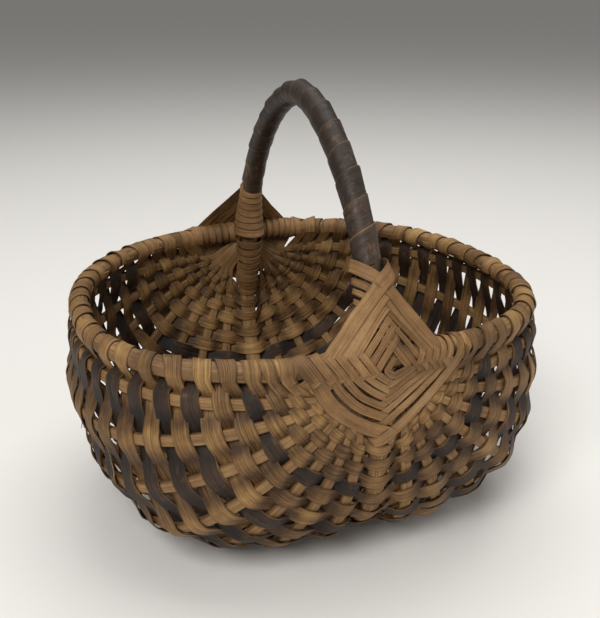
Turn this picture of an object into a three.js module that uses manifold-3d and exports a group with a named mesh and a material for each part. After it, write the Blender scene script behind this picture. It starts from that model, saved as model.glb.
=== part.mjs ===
// A rib-built splint basket of the kind called a buttocks or gizzard basket.
// Two bent hoops cross at the ears: an upright one that is handle and keel, and a level rim.
// Ribs fan out from ear to ear, a four-pointed lashing binds each ear, and flat splints
// weave over and under the ribs from rim to rim, turning round the rim at every second row.
// Millimetres, +Z up, ears on the Y axis, lobes on the X axis, origin under the middle.

import * as THREE from 'three';
import { mergeVertices } from 'three/addons/utils/BufferGeometryUtils.js';
import Module from 'manifold-3d';

// Room left between pieces that touch
const SEAT_GAP = 0.4;

// Rim hoop: half sizes of its centre line, how square its corners are, the dip at the sides
const RIM_HALF_LENGTH = 165;
const RIM_HALF_WIDTH = 148;
const RIM_SQUARENESS = 2.36;
const RIM_DIP = 2.3;
const RIM_ROD_RADIUS = 6.5;

// Upright hoop: rise of the handle and depth of the keel from the rim's level
const HANDLE_RISE = 143;
const HANDLE_SQUARENESS = 1.74;
const KEEL_DEPTH = 147;
const KEEL_SQUARENESS = 4.6;
const HOOP_ROD_RADIUS = 7;
const KEEL_FLATTENING = 1.5;
const KEEL_FLATTENING_LENGTH = 80;

// How far the body swells forward and back below the ears, and the depth where it is full
const EAR_SWELL = 10;
const EAR_SWELL_DEPTH = 60;

// Body between rim and keel: reach from the ear axis and squareness at even fan angles
const LOBE_REACHES = [187.5, 195, 176];
const LOBE_SQUARENESSES = [2.5, 3.1, 3.3];

// Ribs, from the one under the rim to the one beside the keel
const RIBS_PER_SIDE = 7;
const RIB_HALF_WIDTH = 3.9;
const RIB_HALF_THICKNESS = 2.3;
const RIB_TIP_SCALE = 0.28;
const RIB_TAPER_LENGTH = 90;
const RIB_FLAT_SHARE = 0.5;
const RIB_TIP_DISTANCE = 36;
const RIB_TO_RIM = 18.8;
const RIB_TO_KEEL_AT_EAR = 15;
const RIB_TO_KEEL_AT_MIDDLE = 27;
const RIB_SPREAD_LENGTH = 116;
const RIB_EAR_SEAT = 5;

// Splints: each one is two rows joined by a turn round the rim
const SPLINT_COUNT = 24;
const SPLINT_WIDTH = 10;
const SPLINT_THICKNESS = 0.9;
const ROW_GAP = 1.6;
const FIRST_ROW_PITCH = 0.62;
const ROWS_TO_FULL_PITCH = 9;
const FIRST_ROW_CLEARANCE = 4;
const ROWS_LEANING_AT_RIM = 9;
const SQUARING_SPAN = 12;
const SQUARING_PASSES = 12;
const RIM_TURN_STEPS = 5;
const TUCK_ANGLE = 3.5;
const TUCK_START_ANGLE = 3.8;
const TUCK_END_ANGLE = 3.1;
const KEEL_STEP_ANGLE = 0.7;
const SLOPED_THICKNESS = 0.9;
const ROD_SHOULDER_WIDTH = 5.5;
const ROD_SHOULDER_HEIGHT = 8.8;

// Ear lashings: how far each arm of the diamond reaches along its hoop
const FRONT_REACH = { top: 55, right: 46, bottom: 57, left: 55 };
const REAR_REACH = { top: 52, right: 48, bottom: 50, left: 48 };
const LASHING_ROUNDS = 7;
const LASHING_OPEN_ROUNDS = 3;
const LASHING_START = 7;
const LASHING_THICKNESS = 0.85;
const LASHING_GAP = 0.7;
const LASHING_FOLD_GAP = 0.9;
const LASHING_SHOULDER = 1.22;
const LASHING_SLOPE_LENGTH = 30;
const LASHING_FLAT_MARGIN = 2.5;
const LASHING_SPAN = 12;
const LASHING_LOOP_THICKENING = 1.2;
const LASHING_STATIONS_APART = 6;

// Wrap on the handle
const WRAP_TURNS = 15;
const WRAP_THICKNESS = 1;
const WRAP_GAP = 0.8;
const WRAP_STEPS = 12;
const WRAP_END_CLEARANCE = 1.5;

// How much is flattened off the lowest splints where the basket stands
const FOOT_FLAT = 0.5;

// Fineness of the solids
const DENSE_POINTS = 480;
const DIRECTION_SPAN = 4;
const FAN_PASSES = 10;
const ROUNDING = 1e-9;
const ROD_SIDES = 8;
const RIM_HALF_STEPS = 22;
const KEEL_STEPS = 26;
const HANDLE_STEPS = 26;
const RIB_STEPS = 15;

const HOOP_HALF_WIDTH = RIM_HALF_WIDTH - RIM_ROD_RADIUS - SEAT_GAP - HOOP_ROD_RADIUS;
const QUARTER_TURN = Math.PI / 2;
const UP = new THREE.Vector3(0, 0, 1);
const ACROSS = new THREE.Vector3(1, 0, 0);

// Small sums
const power = (value, exponent) => Math.sign(value) * Math.abs(value) ** exponent;
const mix = (a, b, share) => a + (b - a) * share;
const smooth = (share) => THREE.MathUtils.smoothstep(share, 0, 1);
const mixPoints = (a, b, share) => a.clone().lerp(b, share);
const sum = (...vectors) => vectors.reduce((total, vector) => total.add(vector), new THREE.Vector3());
const scaled = (vector, length) => vector.clone().multiplyScalar(length);
const squaredTo = (vector, axis) =>
  vector.clone().addScaledVector(axis, -vector.dot(axis)).normalize();

// A line that is read by the distance along it.
class Track {
  constructor(points) {
    this.points = points;
    this.distances = [0];
    for (let i = 1; i < points.length; i += 1) {
      this.distances.push(this.distances[i - 1] + points[i].distanceTo(points[i - 1]));
    }
    this.length = this.distances.at(-1);
  }

  at(distance) {
    const next = this.distances.findIndex((reached) => reached >= distance);
    if (next === 0) return this.points[0].clone();
    if (next < 0) return this.points.at(-1).clone();
    const from = this.distances[next - 1];
    const share = (distance - from) / (this.distances[next] - from);
    return mixPoints(this.points[next - 1], this.points[next], share);
  }

  direction(distance, span = DIRECTION_SPAN) {
    const start = Math.max(0, distance - span);
    const end = Math.min(this.length, distance + span);
    return this.at(end).sub(this.at(start)).normalize();
  }

  // The distance where a point lies square to the line, searched for from a first guess
  squareFrom(point, guess) {
    let distance = guess;
    for (let pass = 0; pass < SQUARING_PASSES; pass += 1) {
      const along = this.direction(distance, SQUARING_SPAN);
      distance += point.clone().sub(this.at(distance)).dot(along);
    }
    return distance;
  }

  // Points between two distances, closer together where the line bends.
  stations(from, to, steps) {
    const fine = Array.from({ length: DENSE_POINTS + 1 }, (_, i) => mix(from, to, i / DENSE_POINTS));
    const effort = [0];
    const wholeTurn = Math.PI;
    for (let i = 1; i < fine.length; i += 1) {
      const turn = this.direction(fine[i - 1]).angleTo(this.direction(fine[i]));
      effort.push(effort[i - 1] + 1 / DENSE_POINTS + turn / wholeTurn);
    }
    return Array.from({ length: steps + 1 }, (_, i) => {
      const goal = (effort.at(-1) * i) / steps;
      const index = effort.findIndex((reached) => reached >= goal - ROUNDING);
      return this.at(fine[index]);
    });
  }
}

// Angles from the front ear to the rear one, closer together at the ears.
const denseAngles = Array.from({ length: DENSE_POINTS + 1 }, (_, i) => {
  const share = i / DENSE_POINTS;
  return (Math.PI * (1 - Math.cos(Math.PI * share))) / 2;
});

// One half of an outline between plain and square ellipse, from front ear to rear ear
function archPoints(halfWidth, reach, squareness, place) {
  return denseAngles.map((angle) => {
    const along = -halfWidth * power(Math.cos(angle), 2 / squareness);
    const out = reach * Math.abs(Math.sin(angle)) ** (2 / squareness);
    return place(out, along, angle);
  });
}

function rimHalf(side) {
  const points = archPoints(RIM_HALF_WIDTH, RIM_HALF_LENGTH, RIM_SQUARENESS,
    (out, along, angle) => new THREE.Vector3(side * out, along, RIM_DIP * Math.cos(2 * angle)));
  const line = new Track(points);
  return new Track(line.stations(0, line.length, RIM_HALF_STEPS));
}

// How much further out the body's front and back stand at a depth below the rim
const earSwell = (depth) => EAR_SWELL * smooth(depth / EAR_SWELL_DEPTH);

function uprightHalf(reach, squareness, side, steps) {
  const points = archPoints(HOOP_HALF_WIDTH, reach, squareness, (out, along) => {
    const swell = 1 + earSwell(-side * out) / HOOP_HALF_WIDTH;
    return new THREE.Vector3(0, along * swell, RIM_DIP + side * out);
  });
  const line = new Track(points);
  return new Track(line.stations(0, line.length, steps));
}

// A smooth value at a fan angle, through the rim's, the lobes' and the keel's values
function fanValue(values, fanAngle) {
  const place = THREE.MathUtils.clamp(fanAngle / QUARTER_TURN, 0, 1) * (values.length - 1);
  const index = Math.min(Math.floor(place), values.length - 2);
  const share = place - index;
  const before = values[index - 1] ?? 2 * values[0] - values[1];
  const after = values[index + 2] ?? values[index];
  const [a, b] = [values[index], values[index + 1]];
  const bend = 2 * before - 5 * a + 4 * b - after;
  const twist = -before + 3 * a - 3 * b + after;
  return 0.5 * (2 * a + (b - before) * share + bend * share ** 2 + twist * share ** 3);
}

const FAN_REACHES = [RIM_HALF_LENGTH, ...LOBE_REACHES, KEEL_DEPTH];
const FAN_SQUARENESSES = [RIM_SQUARENESS, ...LOBE_SQUARENESSES, KEEL_SQUARENESS];

// The line of one rib; order runs from 0 under the rim to 1 beside the keel
function ribLine(side, order) {
  const points = denseAngles.map((angle) => {
    let fan = QUARTER_TURN * order;
    let reach = RIB_TIP_DISTANCE;
    let squareness = RIM_SQUARENESS;
    for (let pass = 0; pass < FAN_PASSES; pass += 1) {
      squareness = fanValue(FAN_SQUARENESSES, fan);
      reach = fanValue(FAN_REACHES, fan) * Math.abs(Math.sin(angle)) ** (2 / squareness);
      const spread = Math.max(reach, RIB_TIP_DISTANCE);
      const away = smooth((spread - RIB_TIP_DISTANCE) / RIB_SPREAD_LENGTH);
      const toKeel = mix(RIB_TO_KEEL_AT_EAR, RIB_TO_KEEL_AT_MIDDLE, away);
      const first = Math.asin(RIB_TO_RIM / spread);
      const last = QUARTER_TURN - Math.asin(toKeel / spread);
      fan = mix(first, last, order);
    }
    const depth = reach * Math.sin(fan);
    const earSeat = mix(RIM_HALF_WIDTH, HOOP_HALF_WIDTH + RIB_EAR_SEAT, Math.sin(fan) ** 2);
    const halfWidth = earSeat + earSwell(depth) * Math.sin(fan);
    const along = -halfWidth * power(Math.cos(angle), 2 / squareness);
    return new THREE.Vector3(side * reach * Math.cos(fan), along, -depth);
  });
  const line = new Track(points);
  const body = line.stations(RIB_TIP_DISTANCE, line.length - RIB_TIP_DISTANCE, RIB_STEPS);
  return new Track([line.at(0), ...body, line.at(line.length)]);
}

// The stakes that the rows cross, from the left rim round under the keel to the right rim
const leftRim = rimHalf(-1);
const rightRim = rimHalf(1);
const keel = uprightHalf(KEEL_DEPTH, KEEL_SQUARENESS, -1, KEEL_STEPS);
const handle = uprightHalf(HANDLE_RISE, HANDLE_SQUARENESS, 1, HANDLE_STEPS);
const ribOrders = Array.from({ length: RIBS_PER_SIDE }, (_, i) => i / (RIBS_PER_SIDE - 1));
const leftRibs = ribOrders.map((order) => ribLine(-1, order));
const rightRibs = ribOrders.map((order) => ribLine(1, order));
const stakes = [leftRim, ...leftRibs, keel, ...rightRibs.toReversed(), rightRim];
const KEEL_PLACE = RIBS_PER_SIDE + 1;
const LAST_PLACE = stakes.length - 1;

// How far a lashing's edge lies from the ear along one stake
function lashingEdge(place, reach) {
  const fan = QUARTER_TURN * (Math.min(place, LAST_PLACE - place) / KEEL_PLACE);
  const sideReach = place < KEEL_PLACE ? reach.left : reach.right;
  return 1 / (Math.cos(fan) / sideReach + Math.sin(fan) / reach.bottom);
}

// Half width and half thickness of a rib, thinner towards the ears
function ribSize(stake, distance) {
  const fromEar = Math.min(distance, stake.length - distance) - RIB_TIP_DISTANCE;
  const size = mix(RIB_TIP_SCALE, 1, smooth(fromEar / RIB_TAPER_LENGTH));
  return { halfWidth: RIB_HALF_WIDTH * size, halfThickness: RIB_HALF_THICKNESS * size };
}

// Half thickness of the upright hoop, shaved flatter along the keel
function keelHalfThickness(point) {
  return HOOP_ROD_RADIUS - KEEL_FLATTENING * smooth(-point.z / KEEL_FLATTENING_LENGTH);
}

// Direction along a stake and the direction out of the basket there
function stakeFrame(place, share) {
  const stake = stakes[place];
  const distance = share * stake.length;
  const along = stake.direction(distance, SPLINT_WIDTH / 2);
  if (place === 0 || place === LAST_PLACE) {
    const out = new THREE.Vector3().crossVectors(along, UP).normalize();
    return { along, out: place === 0 ? out.negate() : out };
  }
  const before = stakes[place - 1];
  const after = stakes[place + 1];
  const sideways = after.at(share * after.length).sub(before.at(share * before.length));
  return { along, out: new THREE.Vector3().crossVectors(along, sideways).normalize() };
}

// A closed solid through rings of points, with flat ends unless the rings go all round
function sweep(rings, closed = false) {
  const sides = rings[0].length;
  const positions = rings.flat().flatMap((point) => point.toArray());
  const triangles = [];
  const steps = closed ? rings.length : rings.length - 1;
  for (let step = 0; step < steps; step += 1) {
    const here = step * sides;
    const there = ((step + 1) % rings.length) * sides;
    for (let side = 0; side < sides; side += 1) {
      const next = (side + 1) % sides;
      triangles.push(here + side, there + side, there + next);
      triangles.push(here + side, there + next, here + next);
    }
  }
  if (!closed) {
    const last = (rings.length - 1) * sides;
    for (let side = 1; side < sides - 1; side += 1) {
      triangles.push(0, side, side + 1);
      triangles.push(last, last + side + 1, last + side);
    }
  }
  const geometry = new THREE.BufferGeometry();
  geometry.setAttribute('position', new THREE.Float32BufferAttribute(positions, 3));
  geometry.setIndex(solidVolume(positions, triangles) < 0 ? triangles.toReversed() : triangles);
  geometry.computeVertexNormals();
  return geometry;
}

function solidVolume(positions, triangles) {
  const corner = (i) => new THREE.Vector3().fromArray(positions, 3 * triangles[i]);
  let volume = 0;
  for (let i = 0; i < triangles.length; i += 3) {
    volume += corner(i).dot(corner(i + 1).cross(corner(i + 2))) / 6;
  }
  return volume;
}

// A round or oval section about a centre
function roundSection(centre, wide, tall, halfWide, halfTall) {
  return Array.from({ length: ROD_SIDES }, (_, i) => {
    const angle = (2 * Math.PI * (i + 0.5)) / ROD_SIDES;
    return sum(centre, scaled(wide, halfWide * Math.cos(angle)), scaled(tall, halfTall * Math.sin(angle)));
  });
}

// A bent rod that closes on itself; level is the direction across its bend
function hoop(points, level, halfThickness, halfWidth) {
  const rings = points.map((point, i) => {
    const before = points.at(i - 1);
    const after = points[(i + 1) % points.length];
    const out = new THREE.Vector3().crossVectors(after.clone().sub(before), level).normalize();
    return roundSection(point, level, out, halfWidth, halfThickness(point));
  });
  return sweep(rings, true);
}

// The flat strip shape that splints, lashings and wraps share
function stripRing({ centre, width, thickness }) {
  const [halfWidth, halfThickness] = [scaled(width, 0.5), scaled(thickness, 0.5)];
  return [[1, 1], [-1, 1], [-1, -1], [1, -1]].map(([across, through]) =>
    sum(centre, scaled(halfWidth, across), scaled(halfThickness, through)));
}

const strip = (stations) => sweep(stations.map(stripRing));

// A rib's section: flat outside and inside, with a ridge along each edge
const RIB_SECTION = [
  [1, 0], [RIB_FLAT_SHARE, 1], [-RIB_FLAT_SHARE, 1],
  [-1, 0], [-RIB_FLAT_SHARE, -1], [RIB_FLAT_SHARE, -1],
];

// A rib: a flat rod that tapers to both ears
function rib(place) {
  const stake = stakes[place];
  const body = stake.points.slice(1, -1);
  const rings = body.map((point, i) => {
    const distance = stake.distances[i + 1];
    const { along, out } = stakeFrame(place, distance / stake.length);
    const wide = new THREE.Vector3().crossVectors(out, along);
    const { halfWidth, halfThickness } = ribSize(stake, distance);
    return RIB_SECTION.map(([across, through]) =>
      sum(point, scaled(wide, across * halfWidth), scaled(out, through * halfThickness)));
  });
  return sweep(rings);
}

// Rows: their shares of the way from one lashing to the other, closer together at the ears
const ROW_COUNT = 2 * SPLINT_COUNT;
const rowWeights = Array.from({ length: ROW_COUNT }, (_, row) => {
  const fromEar = Math.min(row, ROW_COUNT - 1 - row);
  return mix(FIRST_ROW_PITCH, 1, smooth(fromEar / ROWS_TO_FULL_PITCH));
});
const wholeWeight = rowWeights.reduce((total, weight) => total + weight, 0);

// A row's distance along a stake, and the length of stake that is its own
function rowOnStake(row, place) {
  const from = lashingEdge(place, FRONT_REACH) + FIRST_ROW_CLEARANCE;
  const to = stakes[place].length - lashingEdge(place, REAR_REACH) - FIRST_ROW_CLEARANCE;
  const before = rowWeights.slice(0, row).reduce((total, weight) => total + weight, 0);
  const share = (before + rowWeights[row] / 2) / wholeWeight;
  return { distance: mix(from, to, share), pitch: ((to - from) * rowWeights[row]) / wholeWeight };
}

// The rows on a rim stand square over their places on the rib below it, and only those
// next to the ears lean away, to clear the lashings
function rowsOnRim(place) {
  const ribPlace = place === 0 ? 1 : LAST_PLACE - 1;
  const own = rowWeights.map((_, row) => rowOnStake(row, place).distance);
  const square = own.map((distance, row) => {
    const below = stakes[ribPlace].at(rowOnStake(row, ribPlace).distance);
    return stakes[place].squareFrom(below, distance);
  });
  const fading = (rowsFromEar) => Math.max(0, 1 - rowsFromEar / ROWS_LEANING_AT_RIM);
  const distances = square.map((distance, row) => {
    const fromFront = (own[0] - square[0]) * fading(row);
    const fromRear = (own.at(-1) - square.at(-1)) * fading(ROW_COUNT - 1 - row);
    return distance + fromFront + fromRear;
  });
  return distances.map((distance, row) => {
    const before = distances[row - 1] ?? 2 * distance - distances[row + 1];
    const after = distances[row + 1] ?? 2 * distance - distances[row - 1];
    return { distance, pitch: (after - before) / 2 };
  });
}

const rimRows = { 0: rowsOnRim(0), [LAST_PLACE]: rowsOnRim(LAST_PLACE) };

// Where one row crosses one stake
function crossing(row, place) {
  const { distance, pitch } = rimRows[place]?.[row] ?? rowOnStake(row, place);
  const stake = stakes[place];
  return { point: stake.at(distance), distance, pitch, ...stakeFrame(place, distance / stake.length) };
}

// A strip laid across a stake. Beside a bend its own length of stake is wider or narrower,
// so its edges are found where its neighbours' edges are, at the same height off the stake.
function laidAcross(place, distance, pitch, height, facing) {
  const stake = stakes[place];
  const lifted = (along) => {
    const frame = stakeFrame(place, along / stake.length);
    return sum(stake.at(along), scaled(facing(frame), height));
  };
  const width = lifted(distance + pitch / 2).sub(lifted(distance - pitch / 2));
  const wide = Math.min(SPLINT_WIDTH, width.length() - ROW_GAP);
  return {
    centre: lifted(distance),
    width: width.setLength(wide),
    thickness: scaled(facing(stakeFrame(place, distance / stake.length)), SPLINT_THICKNESS),
  };
}

const outside = (row, place) => (row + place) % 2 === 0;

// Allowance for a flat strip across the hollow side of a stake that bends in short steps
const bowAllowance = (width, steps) => (width / 2) * Math.tan(Math.PI / steps / 2);

// The strip's place over or under one rib: high enough for its slope down to each neighbour
function overRib(row, place) {
  const here = crossing(row, place);
  const { halfWidth, halfThickness } = ribSize(stakes[place], here.distance);
  const bowed = outside(row, place) ? 0 : bowAllowance(Math.min(SPLINT_WIDTH, here.pitch), RIB_STEPS);
  const level = halfThickness + SEAT_GAP + bowed + SPLINT_THICKNESS * SLOPED_THICKNESS;
  const lifts = [place - 1, place + 1].map((neighbour) => {
    const onRod = neighbour === 0 || neighbour === KEEL_PLACE || neighbour === LAST_PLACE;
    const gap = here.point.distanceTo(crossing(row, neighbour).point);
    const run = gap - (onRod ? ROD_SHOULDER_WIDTH : 0);
    const drop = onRod ? ROD_SHOULDER_HEIGHT : level;
    const flat = halfWidth * RIB_FLAT_SHARE;
    return (level + flat * (drop / run)) / (1 - flat / run);
  });
  const lift = Math.max(...lifts) * (outside(row, place) ? 1 : -1);
  return [laidAcross(place, here.distance, here.pitch, lift, (frame) => frame.out)];
}

// The strip's three places over or under the keel
function overKeel(row) {
  const here = crossing(row, KEEL_PLACE);
  const sign = outside(row, KEEL_PLACE) ? 1 : -1;
  const bowed = sign > 0 ? 0 : bowAllowance(Math.min(SPLINT_WIDTH, here.pitch), KEEL_STEPS);
  const room = SEAT_GAP + bowed + SPLINT_THICKNESS / 2;
  const wide = (HOOP_ROD_RADIUS + room) / Math.cos(KEEL_STEP_ANGLE / 2);
  const tall = (keelHalfThickness(here.point) + room) / Math.cos(KEEL_STEP_ANGLE / 2);
  return [-1, 0, 1].map((turn) => {
    const angle = turn * KEEL_STEP_ANGLE;
    const direction = (frame) => sum(
      scaled(ACROSS, Math.sin(angle) * wide),
      scaled(frame.out, sign * Math.cos(angle) * tall),
    );
    const place = laidAcross(KEEL_PLACE, here.distance, here.pitch, 1, direction);
    const facing = sum(scaled(ACROSS, Math.sin(angle)), scaled(here.out, sign * Math.cos(angle)));
    return { ...place, thickness: scaled(facing, SPLINT_THICKNESS) };
  });
}

const RIM_TURN_RADIUS = RIM_ROD_RADIUS + SEAT_GAP + SPLINT_THICKNESS / 2;

// The direction round the rim at an angle from level outwards, turning up over the top
const roundRimAt = (angle) => (frame) =>
  sum(scaled(frame.out, Math.cos(angle)), scaled(UP, Math.sin(angle)));

// The strip's places round the rim, from where it leaves the first rib below
function roundRim(place, startRow, endRow, lastAngle) {
  const start = crossing(startRow, place);
  const end = crossing(endRow, place);
  const ribPlace = place === 0 ? 1 : LAST_PLACE - 1;
  const touching = (row, here, sign) => {
    const below = overRib(row, ribPlace)[0].centre.sub(here.point);
    const [out, up] = [below.dot(here.out), below.z];
    return Math.atan2(up, out) + sign * Math.acos(RIM_TURN_RADIUS / Math.hypot(out, up));
  };
  const first = touching(startRow, start, 1);
  const last = lastAngle ?? touching(endRow, end, -1) + 2 * Math.PI;
  const step = (last - first) / RIM_TURN_STEPS;
  const height = RIM_TURN_RADIUS / Math.cos(step / 2);
  return Array.from({ length: RIM_TURN_STEPS + 1 }, (_, i) => {
    const share = startRow === endRow ? 0 : smooth((i - 1) / (RIM_TURN_STEPS - 2));
    const distance = mix(start.distance, end.distance, share);
    const pitch = mix(start.pitch, end.pitch, share);
    const room = pitch * (startRow === endRow ? 1 : Math.min(1 + 2 * share, 3 - 2 * share));
    return laidAcross(place, distance, room, height, roundRimAt(first + step * i));
  });
}

// The strip's places where its last row ends against the inside of the rim
function tuckedEnd(row, place) {
  const here = crossing(row, place);
  const height = RIM_TURN_RADIUS / Math.cos((TUCK_START_ANGLE - TUCK_END_ANGLE) / 2);
  return [TUCK_START_ANGLE, TUCK_END_ANGLE].map((angle) =>
    laidAcross(place, here.distance, here.pitch, height, roundRimAt(angle)));
}

// One row from left to right, without its ends at the rim
function rowStations(row) {
  const places = Array.from({ length: LAST_PLACE - 1 }, (_, i) => i + 1);
  return places.flatMap((place) => (place === KEEL_PLACE ? overKeel(row) : overRib(row, place)));
}

// One splint: tucked end, turn over a rim, a row, a turn over the other rim, a row, tucked end
function splint(index) {
  const [outerRow, innerRow] = [2 * index, 2 * index + 1];
  const turnsRight = index % 2 === 0;
  const [startPlace, turnPlace] = turnsRight ? [0, LAST_PLACE] : [LAST_PLACE, 0];
  const away = rowStations(outerRow);
  const back = rowStations(innerRow);
  const stations = [
    ...roundRim(startPlace, outerRow, outerRow, TUCK_ANGLE).toReversed(),
    ...(turnsRight ? away : away.toReversed()),
    ...roundRim(turnPlace, outerRow, innerRow),
    ...(turnsRight ? back.toReversed() : back),
    ...tuckedEnd(innerRow, startPlace),
  ];
  const forward = stations.map((station) => ({ ...station, thickness: station.thickness.clone() }));
  for (let i = 1; i < forward.length; i += 1) {
    if (forward[i].thickness.dot(forward[i - 1].thickness) < 0) forward[i].thickness.negate();
    if (forward[i].width.dot(forward[i - 1].width) < 0) forward[i].width = forward[i].width.clone().negate();
  }
  return strip(forward);
}

// The least distance between far-apart turns of one strip, measured on points of its edges
function leastGap(stations, apart) {
  const rings = stations.map(stripRing);
  const samples = [];
  for (let i = 0; i < rings.length - 1; i += 1) {
    for (const share of [0, 0.25, 0.5, 0.75]) {
      rings[i].forEach((corner, side) => {
        samples.push({ turn: i + share, point: mixPoints(corner, rings[i + 1][side], share) });
      });
    }
  }
  let least = Infinity;
  samples.forEach((a, i) => {
    for (const b of samples.slice(i + 1)) {
      if (b.turn - a.turn > apart) least = Math.min(least, a.point.distanceTo(b.point));
    }
  });
  return least;
}

// The strips of an ear lashing, modelled at the front ear and mirrored for the rear one.
// The strand runs from arm to arm across the front. Its outer rounds also take a whole
// turn round each hoop: in over the front, behind, and out over the front again.
function earLashing(reach, mirrored) {
  const arms = [
    { stake: handle, length: reach.top, onward: ACROSS.clone().negate(), rod: HOOP_ROD_RADIUS, set: 1 },
    { stake: leftRim, length: reach.left, onward: UP.clone().negate(), rod: RIM_ROD_RADIUS, set: 0 },
    { stake: keel, length: reach.bottom, onward: ACROSS, rod: HOOP_ROD_RADIUS, set: 1 },
    { stake: rightRim, length: reach.right, onward: UP, rod: RIM_ROD_RADIUS, set: 0 },
  ];
  // The last round's lane on the last arm ends three quarters of a lane past the rounds
  const lanes = LASHING_ROUNDS + 3 / 4;
  const pitches = arms.map((arm) => (arm.length - LASHING_START) / lanes);
  const behindRim = 2 * RIM_ROD_RADIUS + SEAT_GAP;
  const front = new THREE.Vector3(0, -1, 0);

  // A place beside an arm, in a direction from its middle, with its edges where its lane ends
  const beside = (armIndex, distance, lane, facing, looped) => {
    const arm = arms[armIndex];
    const towards = (along) => squaredTo(facing, arm.stake.direction(along, LASHING_SPAN));
    const room = arm.rod + SEAT_GAP + LASHING_THICKNESS / 2;
    const lifted = (along) => {
      const slope = Math.max(0, 1 - (along - RIM_ROD_RADIUS) / LASHING_SLOPE_LENGTH);
      const step = facing === front ? arm.set * behindRim * slope : 0;
      const cornerOfSquare = Math.SQRT2;
      const away = room * (looped ? cornerOfSquare : LASHING_SHOULDER) + step;
      return sum(arm.stake.at(along), scaled(towards(along), away));
    };
    const width = lifted(distance + lane / 2).sub(lifted(distance - lane / 2));
    const gap = lane < pitches[armIndex] ? LASHING_FOLD_GAP : LASHING_GAP;
    return {
      centre: lifted(distance),
      width: width.setLength(width.length() - gap),
      thickness: scaled(towards(distance), LASHING_THICKNESS * (looped ? LASHING_LOOP_THICKENING : 1)),
    };
  };

  const visits = Array.from({ length: 4 * LASHING_ROUNDS }, (_, quarter) => {
    const armIndex = quarter % 4;
    const pitch = pitches[armIndex];
    const distance = LASHING_START + pitch * (quarter / 4 + 0.5);
    const looped = quarter >= 4 * LASHING_OPEN_ROUNDS;
    const middle = beside(armIndex, distance, pitch, front, looped);
    if (!looped) return { middle, path: [middle] };
    const { onward } = arms[armIndex];
    const [inner, outer] = [distance - pitch / 4, distance + pitch / 4];
    const path = [
      beside(armIndex, inner, pitch / 2, front, true),
      beside(armIndex, inner, pitch / 2, onward, true),
      beside(armIndex, distance, pitch, front.clone().negate(), true),
      beside(armIndex, outer, pitch / 2, onward.clone().negate(), true),
      beside(armIndex, outer, pitch / 2, front, true),
    ];
    return { middle, path };
  });

  // Between two looped arms the strand opens to its whole width
  const stations = visits.flatMap(({ middle, path }, i) => {
    const next = visits[i + 1];
    if (!next || next.path.length === 1) return path;
    const span = middle.centre.distanceTo(next.middle.centre);
    const margin = (HOOP_ROD_RADIUS + LASHING_FLAT_MARGIN) / span;
    const shares = path.length === 1 ? [1 - margin] : [margin, 1 - margin];
    return [...path, ...shares.map((share) => ({
      centre: mixPoints(middle.centre, next.middle.centre, share),
      width: mixPoints(middle.width, next.middle.width, share),
      thickness: mixPoints(middle.thickness, next.middle.thickness, share),
    }))];
  });
  console.log(`ear lashing least gap to itself ${leastGap(stations, LASHING_STATIONS_APART).toFixed(2)} mm`);
  const geometry = strip(stations);
  if (mirrored) {
    geometry.scale(1, -1, 1);
    geometry.setIndex(Array.from(geometry.index.array).toReversed());
    geometry.computeVertexNormals();
  }
  return geometry;
}

// One strand wound round the handle from lashing to lashing
function handleWrap() {
  const from = FRONT_REACH.top + WRAP_END_CLEARANCE;
  const to = handle.length - REAR_REACH.top - WRAP_END_CLEARANCE;
  const pitch = (to - from) / (WRAP_TURNS + 1);
  const bowed = bowAllowance(pitch, HANDLE_STEPS);
  const room = HOOP_ROD_RADIUS + SEAT_GAP + bowed + WRAP_THICKNESS / 2;
  const radius = room / Math.cos(Math.PI / WRAP_STEPS);
  const facing = (distance, angle) => {
    const out = new THREE.Vector3().crossVectors(ACROSS, handle.direction(distance, pitch / 2)).normalize();
    return sum(scaled(out, Math.cos(angle)), scaled(ACROSS, Math.sin(angle)));
  };
  const stations = Array.from({ length: WRAP_TURNS * WRAP_STEPS + 1 }, (_, i) => {
    const turns = i / WRAP_STEPS;
    const angle = 2 * Math.PI * turns;
    const distance = from + pitch * (turns + 0.5);
    const lifted = (along) => sum(handle.at(along), scaled(facing(along, angle), radius));
    const width = lifted(distance + pitch / 2).sub(lifted(distance - pitch / 2));
    return {
      centre: lifted(distance),
      width: width.setLength(width.length() - WRAP_GAP),
      thickness: scaled(facing(distance, angle), WRAP_THICKNESS),
    };
  });
  console.log(`handle wrap least gap to itself ${leastGap(stations, WRAP_STEPS / 2).toFixed(2)} mm`);
  return strip(stations);
}

// Finishes
const finish = (color, roughness) => new THREE.MeshStandardMaterial({ color, roughness, metalness: 0 });
const hoopWood = finish(0x8a6238, 0.6);
const ribWood = finish(0x94683a, 0.62);
const lashingSplint = finish(0xa87f4e, 0.58);
const wrapSplint = finish(0x3b302a, 0.55);
const wovenSplint = finish(0x9a7446, 0.66);

function piece(name, geometry, material) {
  const mesh = new THREE.Mesh(geometry, material);
  mesh.name = name;
  return mesh;
}

const rimPoints = [...rightRim.points.slice(0, -1), ...leftRim.points.toReversed().slice(0, -1)];
const uprightPoints = [...handle.points.slice(0, -1), ...keel.points.toReversed().slice(0, -1)];

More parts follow.
